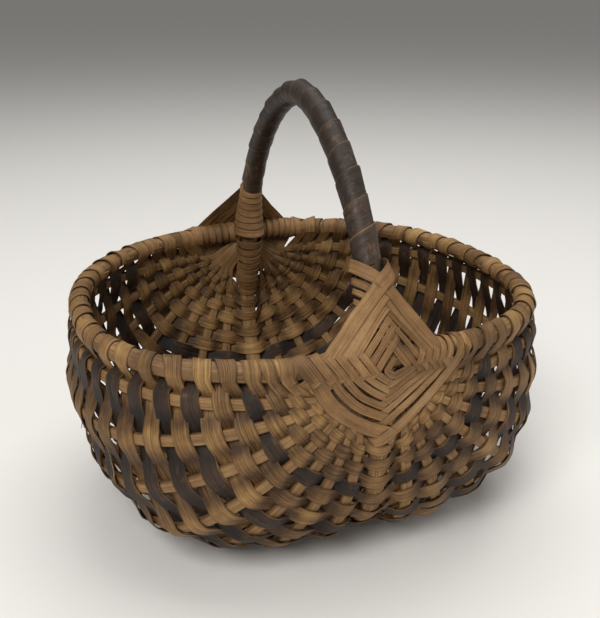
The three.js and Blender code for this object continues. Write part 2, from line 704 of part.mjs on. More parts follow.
const pieces = [
  piece('handle_hoop', hoop(uprightPoints, ACROSS, keelHalfThickness, HOOP_ROD_RADIUS), hoopWood),
  piece('rim_hoop', hoop(rimPoints, UP, () => RIM_ROD_RADIUS, RIM_ROD_RADIUS), hoopWood),
  piece('front_ear_lashing', earLashing(FRONT_REACH, false), lashingSplint),
  piece('rear_ear_lashing', earLashing(REAR_REACH, true), lashingSplint),
  piece('handle_wrap', handleWrap(), wrapSplint),
];
for (let i = 0; i < RIBS_PER_SIDE; i += 1) {
  pieces.push(piece(`left_rib_${i + 1}`, rib(i + 1), ribWood));
  pieces.push(piece(`right_rib_${i + 1}`, rib(LAST_PLACE - 1 - i), ribWood));
}
const splints = Array.from({ length: SPLINT_COUNT }, (_, i) => {
  const name = `woven_splint_${String(i + 1).padStart(2, '0')}`;
  return piece(name, splint(i), wovenSplint);
});
pieces.push(...splints);

// The lowest splints are worn flat where the basket stands, and the floor is put at zero
const wasm = await Module();
wasm.setup();

function toManifold(geometry) {
  const bare = geometry.clone();
  bare.deleteAttribute('normal');
  bare.deleteAttribute('uv');
  const merged = mergeVertices(bare);
  return new wasm.Manifold(new wasm.Mesh({
    numProp: 3,
    vertProperties: Float32Array.from(merged.attributes.position.array),
    triVerts: Uint32Array.from(merged.index.array),
  }));
}

function fromManifold(solid) {
  const { vertProperties, triVerts } = solid.getMesh();
  const geometry = new THREE.BufferGeometry();
  geometry.setAttribute('position', new THREE.BufferAttribute(vertProperties, 3));
  geometry.setIndex(Array.from(triVerts));
  geometry.computeVertexNormals();
  return geometry;
}

const lowest = Math.min(...splints.map(({ geometry }) => {
  geometry.computeBoundingBox();
  return geometry.boundingBox.min.z;
}));
pieces.forEach(({ geometry }) => geometry.translate(0, 0, -lowest - FOOT_FLAT));

const roomSize = 4 * (RIM_HALF_LENGTH + HANDLE_RISE + KEEL_DEPTH);
const room = new THREE.BoxGeometry(roomSize, roomSize, roomSize).translate(0, 0, roomSize / 2);
const aboveFloor = toManifold(room);
for (const mesh of splints) {
  mesh.geometry.computeBoundingBox();
  if (mesh.geometry.boundingBox.min.z < 0) {
    mesh.geometry = fromManifold(toManifold(mesh.geometry).intersect(aboveFloor));
  }
}

const group = new THREE.Group();
group.add(...pieces);

export default group;
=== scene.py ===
"""A buttocks basket of hand-split oak, dressed for a plain studio picture.

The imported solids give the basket's place, and Sizes repeats their driving sizes. Every hoop, rib,
splint and lashing is made again here as stock bent along the same lines, with split grain, worn
edges and torn slivers. The splints are wider than in the solids and the lashings reach further.
Sizes are in millimetres until a mesh is made, and the frame's axes are kept: +Z up, the ears on
the Y axis, the lobes towards -X and +X.
"""

import logging
import math
from dataclasses import dataclass, field
from enum import Enum, IntEnum
from functools import partial
from typing import NamedTuple

import bpy
import numpy as np
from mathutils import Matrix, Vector


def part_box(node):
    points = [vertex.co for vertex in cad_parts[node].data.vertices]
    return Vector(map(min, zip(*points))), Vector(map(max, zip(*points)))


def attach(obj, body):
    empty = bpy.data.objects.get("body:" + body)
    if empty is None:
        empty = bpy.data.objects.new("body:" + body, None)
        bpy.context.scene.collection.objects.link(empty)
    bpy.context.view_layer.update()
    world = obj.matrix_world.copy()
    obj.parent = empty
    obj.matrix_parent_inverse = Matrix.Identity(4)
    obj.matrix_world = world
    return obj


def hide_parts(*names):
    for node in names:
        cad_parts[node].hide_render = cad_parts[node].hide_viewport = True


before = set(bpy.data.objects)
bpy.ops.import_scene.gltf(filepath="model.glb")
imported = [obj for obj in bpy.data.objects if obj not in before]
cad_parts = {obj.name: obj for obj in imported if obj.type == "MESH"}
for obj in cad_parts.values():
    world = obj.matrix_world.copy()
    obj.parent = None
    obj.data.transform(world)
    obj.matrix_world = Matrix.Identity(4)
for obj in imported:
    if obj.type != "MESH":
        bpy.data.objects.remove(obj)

Socket = bpy.types.NodeSocket
Material = bpy.types.Material

LOG = logging.getLogger("basket")
MM = 0.001
QUARTER = math.pi / 2
UP = np.array([0.0, 0.0, 1.0])
ACROSS = np.array([1.0, 0.0, 0.0])
FRONT = np.array([0.0, -1.0, 0.0])
SLOT_HALF_WIDTH = 0.065
DEEPEST_SPLIT = 0.5
SHARE = np.linspace(0.0, 1.0, 721)
DENSE_ANGLES = math.pi * (1 - np.cos(math.pi * SHARE)) / 2


class Seed(IntEnum):
    """The numbers that the grain, the random waves and the draws start from."""

    RIM_HOOP = 11
    UPRIGHT_HOOP = 12
    RIB = 20
    SPLINT = 40
    WAVES_OF_ONE_SPLINT = 50
    FRONT_LASHING = 70
    REAR_LASHING = 71
    LASHING_SLACK = 77
    WRAP_WAVES = 81
    WRAP = 90
    RIB_SWELL = 300
    SLIVER = 600
    SPLINT_BOW = 900
    SPLINT_DRAWS = 4000
    SLIVER_DRAWS = 7000


# Small sums


def mix(low: float, high: float, share: float) -> float:
    """Returns the value that lies at a share of the way from low to high."""
    return low + (high - low) * share


def smooth(share: float) -> float:
    """Returns a share from 0 to 1, eased at both ends."""
    inside = np.clip(share, 0.0, 1.0)
    return inside * inside * (3 - 2 * inside)


def power(value: np.ndarray, exponent: float) -> np.ndarray:
    """Returns the values raised to a power, with their signs kept."""
    return np.sign(value) * np.abs(value) ** exponent


def unit(vectors: np.ndarray) -> np.ndarray:
    """Returns the vectors at length one."""
    lengths = np.linalg.norm(vectors, axis=-1, keepdims=True)
    return vectors / np.maximum(lengths, 1e-9)


def square_to(vectors: np.ndarray, axes: np.ndarray) -> np.ndarray:
    """Returns what is left of the vectors across the axes, at length one."""
    along = np.sum(vectors * axes, axis=-1, keepdims=True)
    return unit(vectors - axes * along)


def distances_along(points: np.ndarray) -> np.ndarray:
    """Returns the distance of each point of an open line from its start."""
    steps = np.linalg.norm(np.diff(points, axis=0), axis=1)
    return np.concatenate([[0.0], np.cumsum(steps)])


def wander(seed: int, distance: np.ndarray, length: float) -> np.ndarray:
    """A slow random wave along a line.

    Args:
        seed: Picks the wave.
        distance: Places along the line, in millimetres.
        length: The usual distance between two crests.

    Returns:
        One value from about -1 to 1 for each place.
    """
    rng = np.random.default_rng(seed)
    total = np.zeros_like(np.asarray(distance, float))
    for octave in (1.0, 1.7, 2.9):
        phase = rng.uniform(0, 2 * math.pi)
        pitch = length / octave * rng.uniform(0.85, 1.15)
        total = total + np.sin(2 * math.pi * distance / pitch + phase) / octave
    return total / 1.6


# The stakes and the rows that cross them


@dataclass(frozen=True)
class Reach:
    """How far each arm of an ear lashing reaches along its hoop."""

    top: float
    right: float
    bottom: float
    left: float


@dataclass(frozen=True)
class Sizes:
    """The basket's driving sizes, the same as the solids have."""

    seat_gap: float = 0.4
    rim_half_length: float = 165.0
    rim_half_width: float = 148.0
    rim_squareness: float = 2.36
    rim_dip: float = 2.3
    rim_rod_radius: float = 6.5
    handle_rise: float = 143.0
    handle_squareness: float = 1.74
    keel_depth: float = 147.0
    keel_squareness: float = 4.6
    hoop_rod_radius: float = 7.0
    keel_flattening: float = 1.5
    keel_flattening_length: float = 80.0
    ear_swell: float = 10.0
    ear_swell_depth: float = 60.0
    lobe_reaches: tuple[float, ...] = (187.5, 195.0, 176.0)
    lobe_squarenesses: tuple[float, ...] = (2.5, 3.1, 3.3)
    ribs_per_side: int = 7
    rib_half_width: float = 3.9
    rib_half_thickness: float = 2.3
    rib_tip_scale: float = 0.28
    rib_taper_length: float = 90.0
    rib_tip_distance: float = 36.0
    rib_to_rim: float = 18.8
    rib_to_keel_at_ear: float = 15.0
    rib_to_keel_at_middle: float = 27.0
    rib_spread_length: float = 116.0
    rib_ear_seat: float = 5.0
    splint_count: int = 24
    splint_width: float = 10.0
    first_row_pitch: float = 0.62
    rows_to_full_pitch: float = 9.0
    first_row_clearance: float = 4.0
    rows_leaning_at_rim: float = 9.0
    squaring_span: float = 12.0
    squaring_passes: int = 12
    front_reach: Reach = Reach(55.0, 46.0, 57.0, 55.0)
    rear_reach: Reach = Reach(52.0, 48.0, 50.0, 48.0)
    wrap_turns: int = 15
    fan_passes: int = 10

    @property
    def hoop_half_width(self) -> float:
        """Half the upright hoop's width, so that it stands against the inside of the rim."""
        return self.rim_half_width - self.rim_rod_radius - self.seat_gap - self.hoop_rod_radius


class Track:
    """A line in space that is read by the distance along it."""

    def __init__(self, points: np.ndarray) -> None:
        """Keeps the points and measures the way between them.

        Args:
            points: The line's points in order, one a row.
        """
        self.points = points
        self.distances = distances_along(points)
        self.length = float(self.distances[-1])

    def at(self, distance: float | np.ndarray) -> np.ndarray:
        """Returns the point, or the points, at a distance from the start."""
        columns = [np.interp(distance, self.distances, self.points[:, axis]) for axis in range(3)]
        return np.stack(columns, axis=-1)

    def direction(self, distance: float | np.ndarray, span: float) -> np.ndarray:
        """Returns the line's direction at a distance, taken over a span to both sides."""
        start = np.maximum(0.0, np.asarray(distance) - span)
        end = np.minimum(self.length, np.asarray(distance) + span)
        return unit(self.at(end) - self.at(start))

    def square_from(self, point: np.ndarray, guess: float, span: float, passes: int) -> float:
        """Finds where a point lies square to the line.

        Args:
            point: The point.
            guess: The distance that the search starts from.
            span: The span that the line's direction is taken over.
            passes: How many steps the search takes.

        Returns:
            The distance from the line's start.
        """
        distance = guess
        for _ in range(passes):
            distance += float((point - self.at(distance)) @ self.direction(distance, span))
        return distance


@dataclass(frozen=True)
class Crossing:
    """Where one row crosses one stake."""

    point: np.ndarray
    distance: float
    pitch: float
    out: np.ndarray


class Plan:
    """The lines of hoops and ribs, and the places of the rows on them."""

    def __init__(self, sizes: Sizes, rim_height: float) -> None:
        """Lays out the stakes from the left rim round under the keel to the right rim.

        Args:
            sizes: The basket's driving sizes.
            rim_height: Height of the rim's level above the floor.
        """
        self.sizes = sizes
        self.rim_height = rim_height
        self.rims = {side: self._rim_half(side) for side in (-1, 1)}
        self.keel = self._upright_half(sizes.keel_depth, sizes.keel_squareness, -1)
        self.handle = self._upright_half(sizes.handle_rise, sizes.handle_squareness, 1)
        orders = np.linspace(0.0, 1.0, sizes.ribs_per_side)
        left = [self._rib_line(-1, order) for order in orders]
        right = [self._rib_line(1, order) for order in orders]
        self.stakes = [self.rims[-1], *left, self.keel, *right[::-1], self.rims[1]]
        self.keel_place = sizes.ribs_per_side + 1
        self.last_place = len(self.stakes) - 1
        self.row_count = 2 * sizes.splint_count
        rows = np.arange(self.row_count)
        from_ear = np.minimum(rows, self.row_count - 1 - rows)
        self.weights = mix(sizes.first_row_pitch, 1.0, smooth(from_ear / sizes.rows_to_full_pitch))
        self._rim_rows = {place: self._rows_on_rim(place) for place in (0, self.last_place)}
        self._crossings: dict[tuple[int, int], Crossing] = {}

    def _ear_swell(self, depth: np.ndarray) -> np.ndarray:
        """Returns how much further out the front and back stand at depths below the rim."""
        return self.sizes.ear_swell * smooth(depth / self.sizes.ear_swell_depth)

    def _rim_half(self, side: int) -> Track:
        """Returns one half of the rim's centre line, from the front ear to the rear one."""
        s = self.sizes
        along = -s.rim_half_width * power(np.cos(DENSE_ANGLES), 2 / s.rim_squareness)
        out = s.rim_half_length * np.abs(np.sin(DENSE_ANGLES)) ** (2 / s.rim_squareness)
        height = self.rim_height + s.rim_dip * np.cos(2 * DENSE_ANGLES)
        return Track(np.stack([side * out, along, height], axis=-1))

    def _upright_half(self, reach: float, squareness: float, side: int) -> Track:
        """Returns the handle's half (side 1) or the keel's (side -1) of the upright hoop."""
        s = self.sizes
        along = -s.hoop_half_width * power(np.cos(DENSE_ANGLES), 2 / squareness)
        out = reach * np.abs(np.sin(DENSE_ANGLES)) ** (2 / squareness)
        along = along * (1 + self._ear_swell(-side * out) / s.hoop_half_width)
        height = self.rim_height + s.rim_dip + side * out
        return Track(np.stack([np.zeros_like(out), along, height], axis=-1))

    def _fan_value(self, values: tuple[float, ...], fan: np.ndarray) -> np.ndarray:
        """Returns a smooth value at fan angles, through values from the rim to the keel."""
        padded = np.array([2 * values[0] - values[1], *values, values[-2]])
        place = np.clip(fan / QUARTER, 0.0, 1.0) * (len(values) - 1)
        index = np.minimum(np.floor(place).astype(int), len(values) - 2)
        share = place - index
        before, a, b, after = (padded[index + step] for step in range(4))
        bend = 2 * before - 5 * a + 4 * b - after
        twist = -before + 3 * a - 3 * b + after
        return 0.5 * (2 * a + (b - before) * share + bend * share**2 + twist * share**3)

    def _rib_line(self, side: int, order: float) -> Track:
        """Returns one rib's line; order runs from 0 under the rim to 1 beside the keel."""
        s = self.sizes
        reaches = (s.rim_half_length, *s.lobe_reaches, s.keel_depth)
        squarenesses = (s.rim_squareness, *s.lobe_squarenesses, s.keel_squareness)
        fan = np.full_like(DENSE_ANGLES, QUARTER * order)
        for _ in range(s.fan_passes):
            squareness = self._fan_value(squarenesses, fan)
            reach = self._fan_value(reaches, fan) * np.abs(np.sin(DENSE_ANGLES)) ** (2 / squareness)
            spread = np.maximum(reach, s.rib_tip_distance)
            away = smooth((spread - s.rib_tip_distance) / s.rib_spread_length)
            to_keel = mix(s.rib_to_keel_at_ear, s.rib_to_keel_at_middle, away)
            first = np.arcsin(s.rib_to_rim / spread)
            last = QUARTER - np.arcsin(to_keel / spread)
            fan = mix(first, last, order)
        depth = reach * np.sin(fan)
        seat = mix(s.rim_half_width, s.hoop_half_width + s.rib_ear_seat, np.sin(fan) ** 2)
        half_width = seat + self._ear_swell(depth) * np.sin(fan)
        along = -half_width * power(np.cos(DENSE_ANGLES), 2 / squareness)
        height = self.rim_height - depth
        return Track(np.stack([side * reach * np.cos(fan), along, height], axis=-1))

    def is_rim(self, place: int) -> bool:
        """Returns whether a stake is one of the rim's halves."""
        return place in (0, self.last_place)

    def _lashing_edge(self, place: int, reach: Reach) -> float:
        """Returns how far a lashing's edge lies from the ear along one stake."""
        fan = QUARTER * min(place, self.last_place - place) / self.keel_place
        side_reach = reach.left if place < self.keel_place else reach.right
        return 1 / (math.cos(fan) / side_reach + math.sin(fan) / reach.bottom)

    def outward(self, place: int, distance: float) -> np.ndarray:
        """Returns the direction out of the basket at a distance along a stake."""
        stake = self.stakes[place]
        share = distance / stake.length
        along = stake.direction(distance, self.sizes.splint_width / 2)
        if self.is_rim(place):
            out = unit(np.cross(along, UP))
            return -out if place == 0 else out
        before, after = self.stakes[place - 1], self.stakes[place + 1]
        sideways = after.at(share * after.length) - before.at(share * before.length)
        return unit(np.cross(along, sideways))

    def _row_on_stake(self, row: int, place: int) -> tuple[float, float]:
        """Returns a row's distance along a stake and the length of stake that is its own."""
        s = self.sizes
        start = self._lashing_edge(place, s.front_reach) + s.first_row_clearance
        end = self.stakes[place].length
        end -= self._lashing_edge(place, s.rear_reach) + s.first_row_clearance
        share = (self.weights[:row].sum() + self.weights[row] / 2) / self.weights.sum()
        return mix(start, end, share), (end - start) * self.weights[row] / self.weights.sum()

    def _rows_on_rim(self, place: int) -> list[tuple[float, float]]:
        """Places the rows on a rim square over their places on the rib below it.

        Args:
            place: The rim half's place among the stakes.

        Returns:
            For each row its distance along the rim and the length that is its own. Only the
            rows next to the ears lean away, to clear the lashings.
        """
        s = self.sizes
        rib_place = 1 if place == 0 else self.last_place - 1
        rows = np.arange(self.row_count)
        own = np.array([self._row_on_stake(row, place)[0] for row in rows])
        below = [self.stakes[rib_place].at(self._row_on_stake(row, rib_place)[0]) for row in rows]
        square = np.array([
            self.stakes[place].square_from(point, guess, s.squaring_span, s.squaring_passes)
            for point, guess in zip(below, own)])
        lean = own - square
        from_front = lean[0] * np.maximum(0.0, 1 - rows / s.rows_leaning_at_rim)
        from_rear = lean[-1] * np.maximum(0.0, 1 - rows[::-1] / s.rows_leaning_at_rim)
        distances = square + from_front + from_rear
        return list(zip(distances, np.gradient(distances)))

    def crossing(self, row: int, place: int) -> Crossing:
        """Returns where one row crosses one stake."""
        if (row, place) not in self._crossings:
            on_rim = self.is_rim(place)
            distance, pitch = (
                self._rim_rows[place][row] if on_rim else self._row_on_stake(row, place))
            stake = self.stakes[place]
            out = self.outward(place, distance)
            self._crossings[row, place] = Crossing(stake.at(distance), distance, pitch, out)
        return self._crossings[row, place]

    def rib_scale(self, place: int, distance: float) -> float:
        """Returns a rib's share of its full size at a distance along it."""
        s = self.sizes
        from_ear = np.minimum(distance, self.stakes[place].length - distance) - s.rib_tip_distance
        return mix(s.rib_tip_scale, 1.0, smooth(from_ear / s.rib_taper_length))

    def keel_half_thickness(self, height: float | np.ndarray) -> float | np.ndarray:
        """Returns the upright hoop's half thickness, shaved flatter along the keel."""
        s = self.sizes
        below = (self.rim_height - height) / s.keel_flattening_length
        return s.hoop_rod_radius - s.keel_flattening * smooth(below)


# Stock: a section carried along a line


@dataclass
class Stock:
    """One length of stock: a line with the directions and half sizes of its section."""

    centre: np.ndarray
    facing: np.ndarray
    half_width: np.ndarray
    half_thickness: np.ndarray
    seed: int
    closed: bool = False
    dark_face: float = 0.0
    tone: float | np.ndarray = 0.0
    split: np.ndarray | None = None
    width_line: np.ndarray | None = None

    def along(self) -> np.ndarray:
        """Returns the distance of each point from the start of the line."""
        return distances_along(self.centre)

    def tangent(self) -> np.ndarray:
        """Returns the line's direction at each point."""
        if self.closed:
            return unit(np.roll(self.centre, -1, axis=0) - np.roll(self.centre, 1, axis=0))
        return unit(np.gradient(self.centre, axis=0))

    def across(self) -> np.ndarray:
        """Returns the direction of the section's width at each point."""
        if self.width_line is not None:
            return self.width_line
        return unit(np.cross(self.facing, self.tangent()))

    def squared(self) -> "Stock":
        """Turns the facing square to the line and returns the stock."""
        self.facing = square_to(self.facing, self.tangent())
        return self


def soften(values: np.ndarray, spacing: float, stiffness: float) -> np.ndarray:
    """Evens values out along an open line, as stiff stock does.

    Args:
        values: One row for each point of the line.
        spacing: The distance between two points.
        stiffness: The length over which the stock evens out.

    Returns:
        The values after that, with both ends kept.
    """
    reach = max(1, int(math.ceil(3 * stiffness / spacing)))
    offsets = np.arange(-reach, reach + 1)
    weights = np.exp(-0.5 * (offsets * spacing / stiffness) ** 2)
    weights /= weights.sum()
    before = 2 * values[0] - values[reach:0:-1]
    after = 2 * values[-1] - values[-2 : -reach - 2 : -1]
    padded = np.concatenate([before, values, after])
    columns = [np.convolve(padded[:, axis], weights, mode="valid") for axis in range(values.shape[1])]
    return np.stack(columns, axis=-1)


class Station(NamedTuple):
    """One place that a strip of stock is led through."""

    point: np.ndarray
    facing: np.ndarray
    half_width: float
    tone: float = 0.0


def bend_stock(stations: list[Station], half_thickness: float, spacing: float, stiffness: float,
               seed: int) -> Stock:
    """Bends one length of flat stock through stations.

    Args:
        stations: The places that it is led through.
        half_thickness: Half its thickness.
        spacing: The distance between two points of the result.
        stiffness: The length over which the stock evens out.
        seed: Picks its grain.

    Returns:
        The bent stock.
    """
    points = np.array([station.point for station in stations])
    rest = np.array([[*unit(s.facing), s.half_width, s.tone] for s in stations])
    reached = distances_along(points)
    count = max(4, int(round(reached[-1] / spacing)) + 1)
    places = np.linspace(0.0, reached[-1], count)
    both = np.concatenate([points, rest], axis=1)
    dense = np.stack([np.interp(places, reached, column) for column in both.T], axis=-1)
    soft = soften(dense, places[1], stiffness)
    thick = np.full(count, half_thickness)
    return Stock(soft[:, :3], soft[:, 3:6], soft[:, 6], thick, seed, tone=soft[:, 7]).squared()


def turn_about(vectors: np.ndarray, axes: np.ndarray, angles: np.ndarray) -> np.ndarray:
    """Returns vectors turned about axes that they are square to."""
    return vectors * np.cos(angles)[:, None] + np.cross(axes, vectors) * np.sin(angles)[:, None]


def split_depths(seed: int, places: np.ndarray, length: float, least: float,
                 swing: float) -> np.ndarray:
    """Returns how deep the three splits of a strip open at each place, which comes and goes."""
    depths = [least + swing * wander(seed + order, places, length) for order in range(3)]
    return np.stack([np.clip(depth, 0, DEEPEST_SPLIT) for depth in depths], axis=-1)


class Section(Enum):
    """The sections that stock is made in."""

    SPLINT = "flat splint with three lines where it splits"
    RIB = "shaved rib with a broad flat face"
    ROD = "round rod"


# How many points a round section has, and how full its curve is across and through
ROUND_SECTIONS = {Section.RIB: (24, 0.55, 0.5), Section.ROD: (28, 1.0, 1.0)}
SPLIT_LINES = (-0.46, 0.07, 0.54)
SPLINT_EDGE = ((0.83, 1.0), (0.96, 0.85), (1.0, 0.35))


def section_points(section: Section) -> tuple[np.ndarray, np.ndarray]:
    """Draws one section.

    Args:
        section: Which one.

    Returns:
        Its points, from -1 to 1 each way, and for each point how much each of three splits
        opens it.
    """
    if section in ROUND_SECTIONS:
        count, wide, tall = ROUND_SECTIONS[section]
        angles = np.linspace(0.0, 2 * math.pi, count, endpoint=False)
        points = np.stack([power(np.cos(angles), wide), power(np.sin(angles), tall)], axis=-1)
        return points, np.zeros((count, 3))
    top = [(-x, y) for x, y in SPLINT_EDGE[::-1]]
    for line in SPLIT_LINES:
        top += [(line - SLOT_HALF_WIDTH, 1.0), (line, 1.0), (line + SLOT_HALF_WIDTH, 1.0)]
    top += SPLINT_EDGE
    opened = [[float(x == line) for line in SPLIT_LINES] for x, _ in top]
    points = np.array(top + [(x, -y) for x, y in top[::-1]])
    opening = np.array(opened + opened[::-1])
    return points[::-1], opening[::-1]


# Blender helpers


def add_node(tree: bpy.types.NodeTree, kind: str, settings: dict | None = None,
             inputs: dict | None = None) -> bpy.types.Node:
    """Adds a node with its settings and links.

    Args:
        tree: The tree that it goes into.
        kind: The node's type name.
        settings: Its own values, by name.
        inputs: Its inputs' values, or the sockets that feed them, by identifier or number.

    Returns:
        The new node.
    """
    made = tree.nodes.new(kind)
    for name, value in (settings or {}).items():
        setattr(made, name, value)
    for key, value in (inputs or {}).items():
        if isinstance(key, int):
            socket = made.inputs[key]
        else:
            socket = next(s for s in made.inputs if s.identifier == key)
        if isinstance(value, Socket):
            tree.links.new(value, socket)
        else:
            socket.default_value = value
    return made


def number_node(tree: bpy.types.NodeTree, operation: str, first: object, second: object = 0.0,
                third: object = 0.0) -> Socket:
    """Returns the result of a sum on numbers."""
    return add_node(tree, "ShaderNodeMath", {"operation": operation}, {
        "Value": first, "Value_001": second, "Value_002": third}).outputs["Value"]


def vector_node(tree: bpy.types.NodeTree, operation: str, **inputs: object) -> Socket:
    """Returns the result of a sum on vectors."""
    made = add_node(tree, "ShaderNodeVectorMath", {"operation": operation}, inputs)
    return made.outputs["Value" if operation == "DOT_PRODUCT" else "Vector"]


def node_makers(tree: bpy.types.NodeTree) -> tuple[partial, partial, partial]:
    """Returns the three functions above for one tree: any node, sums on numbers and on vectors."""
    return partial(add_node, tree), partial(number_node, tree), partial(vector_node, tree)


def add_object(name: str, data: bpy.types.ID) -> bpy.types.Object:
    """Returns a new object in the scene."""
    made = bpy.data.objects.new(name, data)
    bpy.context.scene.collection.objects.link(made)
    return made


def from_hex(code: str) -> tuple[float, float, float, float]:
    """Turns an sRGB colour of six digits into the linear red, green, blue and full opacity."""
    parts = [int(code[i : i + 2], 16) / 255 for i in (0, 2, 4)]
    red, green, blue = (p / 12.92 if p <= 0.04045 else ((p + 0.055) / 1.055) ** 2.4 for p in parts)
    return red, green, blue, 1.0


class Bender:
    """Makes meshes of stock with a Geometry Nodes tree that carries a section along lines."""

    INPUTS = {"Lines": "Geometry", "Section": "Object", "Unevenness": "Float",
              "Unevenness Length": "Float", "Material": "Material"}
    ONLY_FOR_THE_TREE = ("centre", "outline", "opening", "split", "across", "facing", "half_width",
                         "half_thickness", "finish", "along")

    def __init__(self) -> None:
        """Builds the sections and the tree."""
        self.sections = {section: self._section_object(section) for section in Section}
        self.tree = self._build_tree()

    def _section_object(self, section: Section) -> bpy.types.Object:
        """Returns a closed outline of one section, as an object that the tree reads."""
        points, opening = section_points(section)
        mesh = bpy.data.meshes.new(f"section_{section.name.lower()}")
        count = len(points)
        edges = [(i, (i + 1) % count) for i in range(count)]
        mesh.from_pydata([(x, y, 0.0) for x, y in points], edges, [])
        opened = mesh.attributes.new("opening", "FLOAT_VECTOR", "POINT")
        opened.data.foreach_set("vector", opening.astype(np.float32).ravel())
        return add_object(mesh.name, mesh)

    def _build_tree(self) -> bpy.types.NodeTree:
        """Returns the tree: it carries the section along each line and keeps the grain's place."""
        tree = bpy.data.node_groups.new("bend_stock", "GeometryNodeTree")
        for name, kind in self.INPUTS.items():
            tree.interface.new_socket(name, in_out="INPUT", socket_type=f"NodeSocket{kind}")
        tree.interface.new_socket("Stock", in_out="OUTPUT", socket_type="NodeSocketGeometry")
        add, number, vector = node_makers(tree)

        def shaped(kind: str, inputs: dict, settings: dict | None = None) -> Socket:
            """Returns the geometry that comes out of a node."""
            return add(kind, settings, inputs).outputs[0]

        def store(geometry: Socket, name: str,
                  value: Socket) -> Socket:
            """Returns the geometry with a vector kept on its points under a name."""
            return shaped("GeometryNodeStoreNamedAttribute",
                          {"Geometry": geometry, "Name": name, "Value": value},
                          {"data_type": "FLOAT_VECTOR", "domain": "POINT"})

        def named(name: str, data_type: str = "FLOAT_VECTOR") -> Socket:
            """Returns the socket that reads a named attribute."""
            reader = add("GeometryNodeInputNamedAttribute", {"data_type": data_type}, {"Name": name})
            return next(s for s in reader.outputs if s.name == "Attribute" and s.enabled)

        entry = add("NodeGroupInput").outputs
        place = add("GeometryNodeInputPosition").outputs["Position"]
        lines = shaped("GeometryNodeMeshToCurve", {"Mesh": entry["Lines"]})
        shape = add("GeometryNodeObjectInfo", {"transform_space": "ORIGINAL"},
                    {"Object": entry["Section"]})
        outline = shaped("GeometryNodeMeshToCurve", {"Mesh": shape.outputs["Geometry"]})
        swept = shaped("GeometryNodeCurveToMesh", {
            "Curve": store(lines, "centre", place), "Profile Curve": store(outline, "outline", place),
            "Fill Caps": True})
        drawn = add("ShaderNodeSeparateXYZ", inputs={"Vector": named("outline")}).outputs
        dark_face, tone, seed = add("ShaderNodeSeparateXYZ", inputs={"Vector": named("finish")}).outputs
        opened = vector("DOT_PRODUCT", Vector=named("split"), Vector_001=named("opening"))
        depth = number("MULTIPLY", opened, number("SIGN", drawn["Y"]))
        height = number("SUBTRACT", drawn["Y"], depth)
        raised = number("MULTIPLY", height, named("half_thickness", "FLOAT"))
        aside = number("MULTIPLY", drawn["X"], named("half_width", "FLOAT"))
        sideways = vector("SCALE", Vector=named("across"), Scale=aside)
        outwards = vector("SCALE", Vector=named("facing"), Scale=raised)
        spread = vector("ADD", Vector=sideways, Vector_001=outwards)
        placed = vector("ADD", Vector=named("centre"), Vector_001=spread)
        noise = add("ShaderNodeTexNoise", {"noise_dimensions": "4D"}, {
            "Vector": placed, "W": seed, "Detail": 2.0,
            "Scale": number("DIVIDE", 1.0, entry["Unevenness Length"])})
        swing = number("SUBTRACT", noise.outputs["Fac"], 0.5)
        amount = number("MULTIPLY", swing, entry["Unevenness"])
        push = vector("SCALE", Vector=vector("NORMALIZE", Vector=spread), Scale=amount)
        final = vector("ADD", Vector=placed, Vector_001=push)
        moved = shaped("GeometryNodeSetPosition", {"Geometry": swept, "Position": final})
        grain = add("ShaderNodeCombineXYZ", inputs={
            "X": named("along", "FLOAT"), "Y": aside, "Z": seed})
        face = add("ShaderNodeCombineXYZ", inputs={
            "X": drawn["X"], "Y": number("MULTIPLY", drawn["Y"], dark_face), "Z": tone})
        grained = store(moved, "grain", grain.outputs["Vector"])
        faced = store(grained, "face", face.outputs["Vector"])
        rounded = shaped("GeometryNodeSetShadeSmooth", {"Geometry": faced, "Shade Smooth": True})
        real = shaped("GeometryNodeRealizeInstances", {"Geometry": rounded})
        painted = shaped("GeometryNodeSetMaterial", {"Geometry": real, "Material": entry["Material"]})
        add("NodeGroupOutput", inputs={0: painted})
        return tree

    def make(self, name: str, stocks: list[Stock], section: Section, material: Material,
             unevenness: float, unevenness_length: float) -> bpy.types.Object:
        """Makes one piece of one or more lengths of stock.

        Args:
            name: The piece's name.
            stocks: Its lengths of stock.
            section: The section that they share.
            material: Its finish.
            unevenness: How far the surface swells and sinks, in millimetres.
            unevenness_length: The usual distance between two swellings, in millimetres.

        Returns:
            The piece, a plain mesh at its place.
        """
        lines = self._line_object(name, stocks)
        modifier = lines.modifiers.new("bend", "NODES")
        modifier.node_group = self.tree
        sockets = {item.name: item.identifier for item in self.tree.interface.items_tree}
        modifier[sockets["Section"]] = self.sections[section]
        modifier[sockets["Unevenness"]] = unevenness * MM
        modifier[sockets["Unevenness Length"]] = unevenness_length * MM
        modifier[sockets["Material"]] = material
        graph = bpy.context.evaluated_depsgraph_get()
        mesh = bpy.data.meshes.new_from_object(lines.evaluated_get(graph), depsgraph=graph)
        lines.modifiers.remove(modifier)
        bpy.data.objects.remove(lines)
        mesh.name = name
        for used in self.ONLY_FOR_THE_TREE:
            if used in mesh.attributes:
                mesh.attributes.remove(mesh.attributes[used])
        self._settle(mesh)
        return add_object(name, mesh)

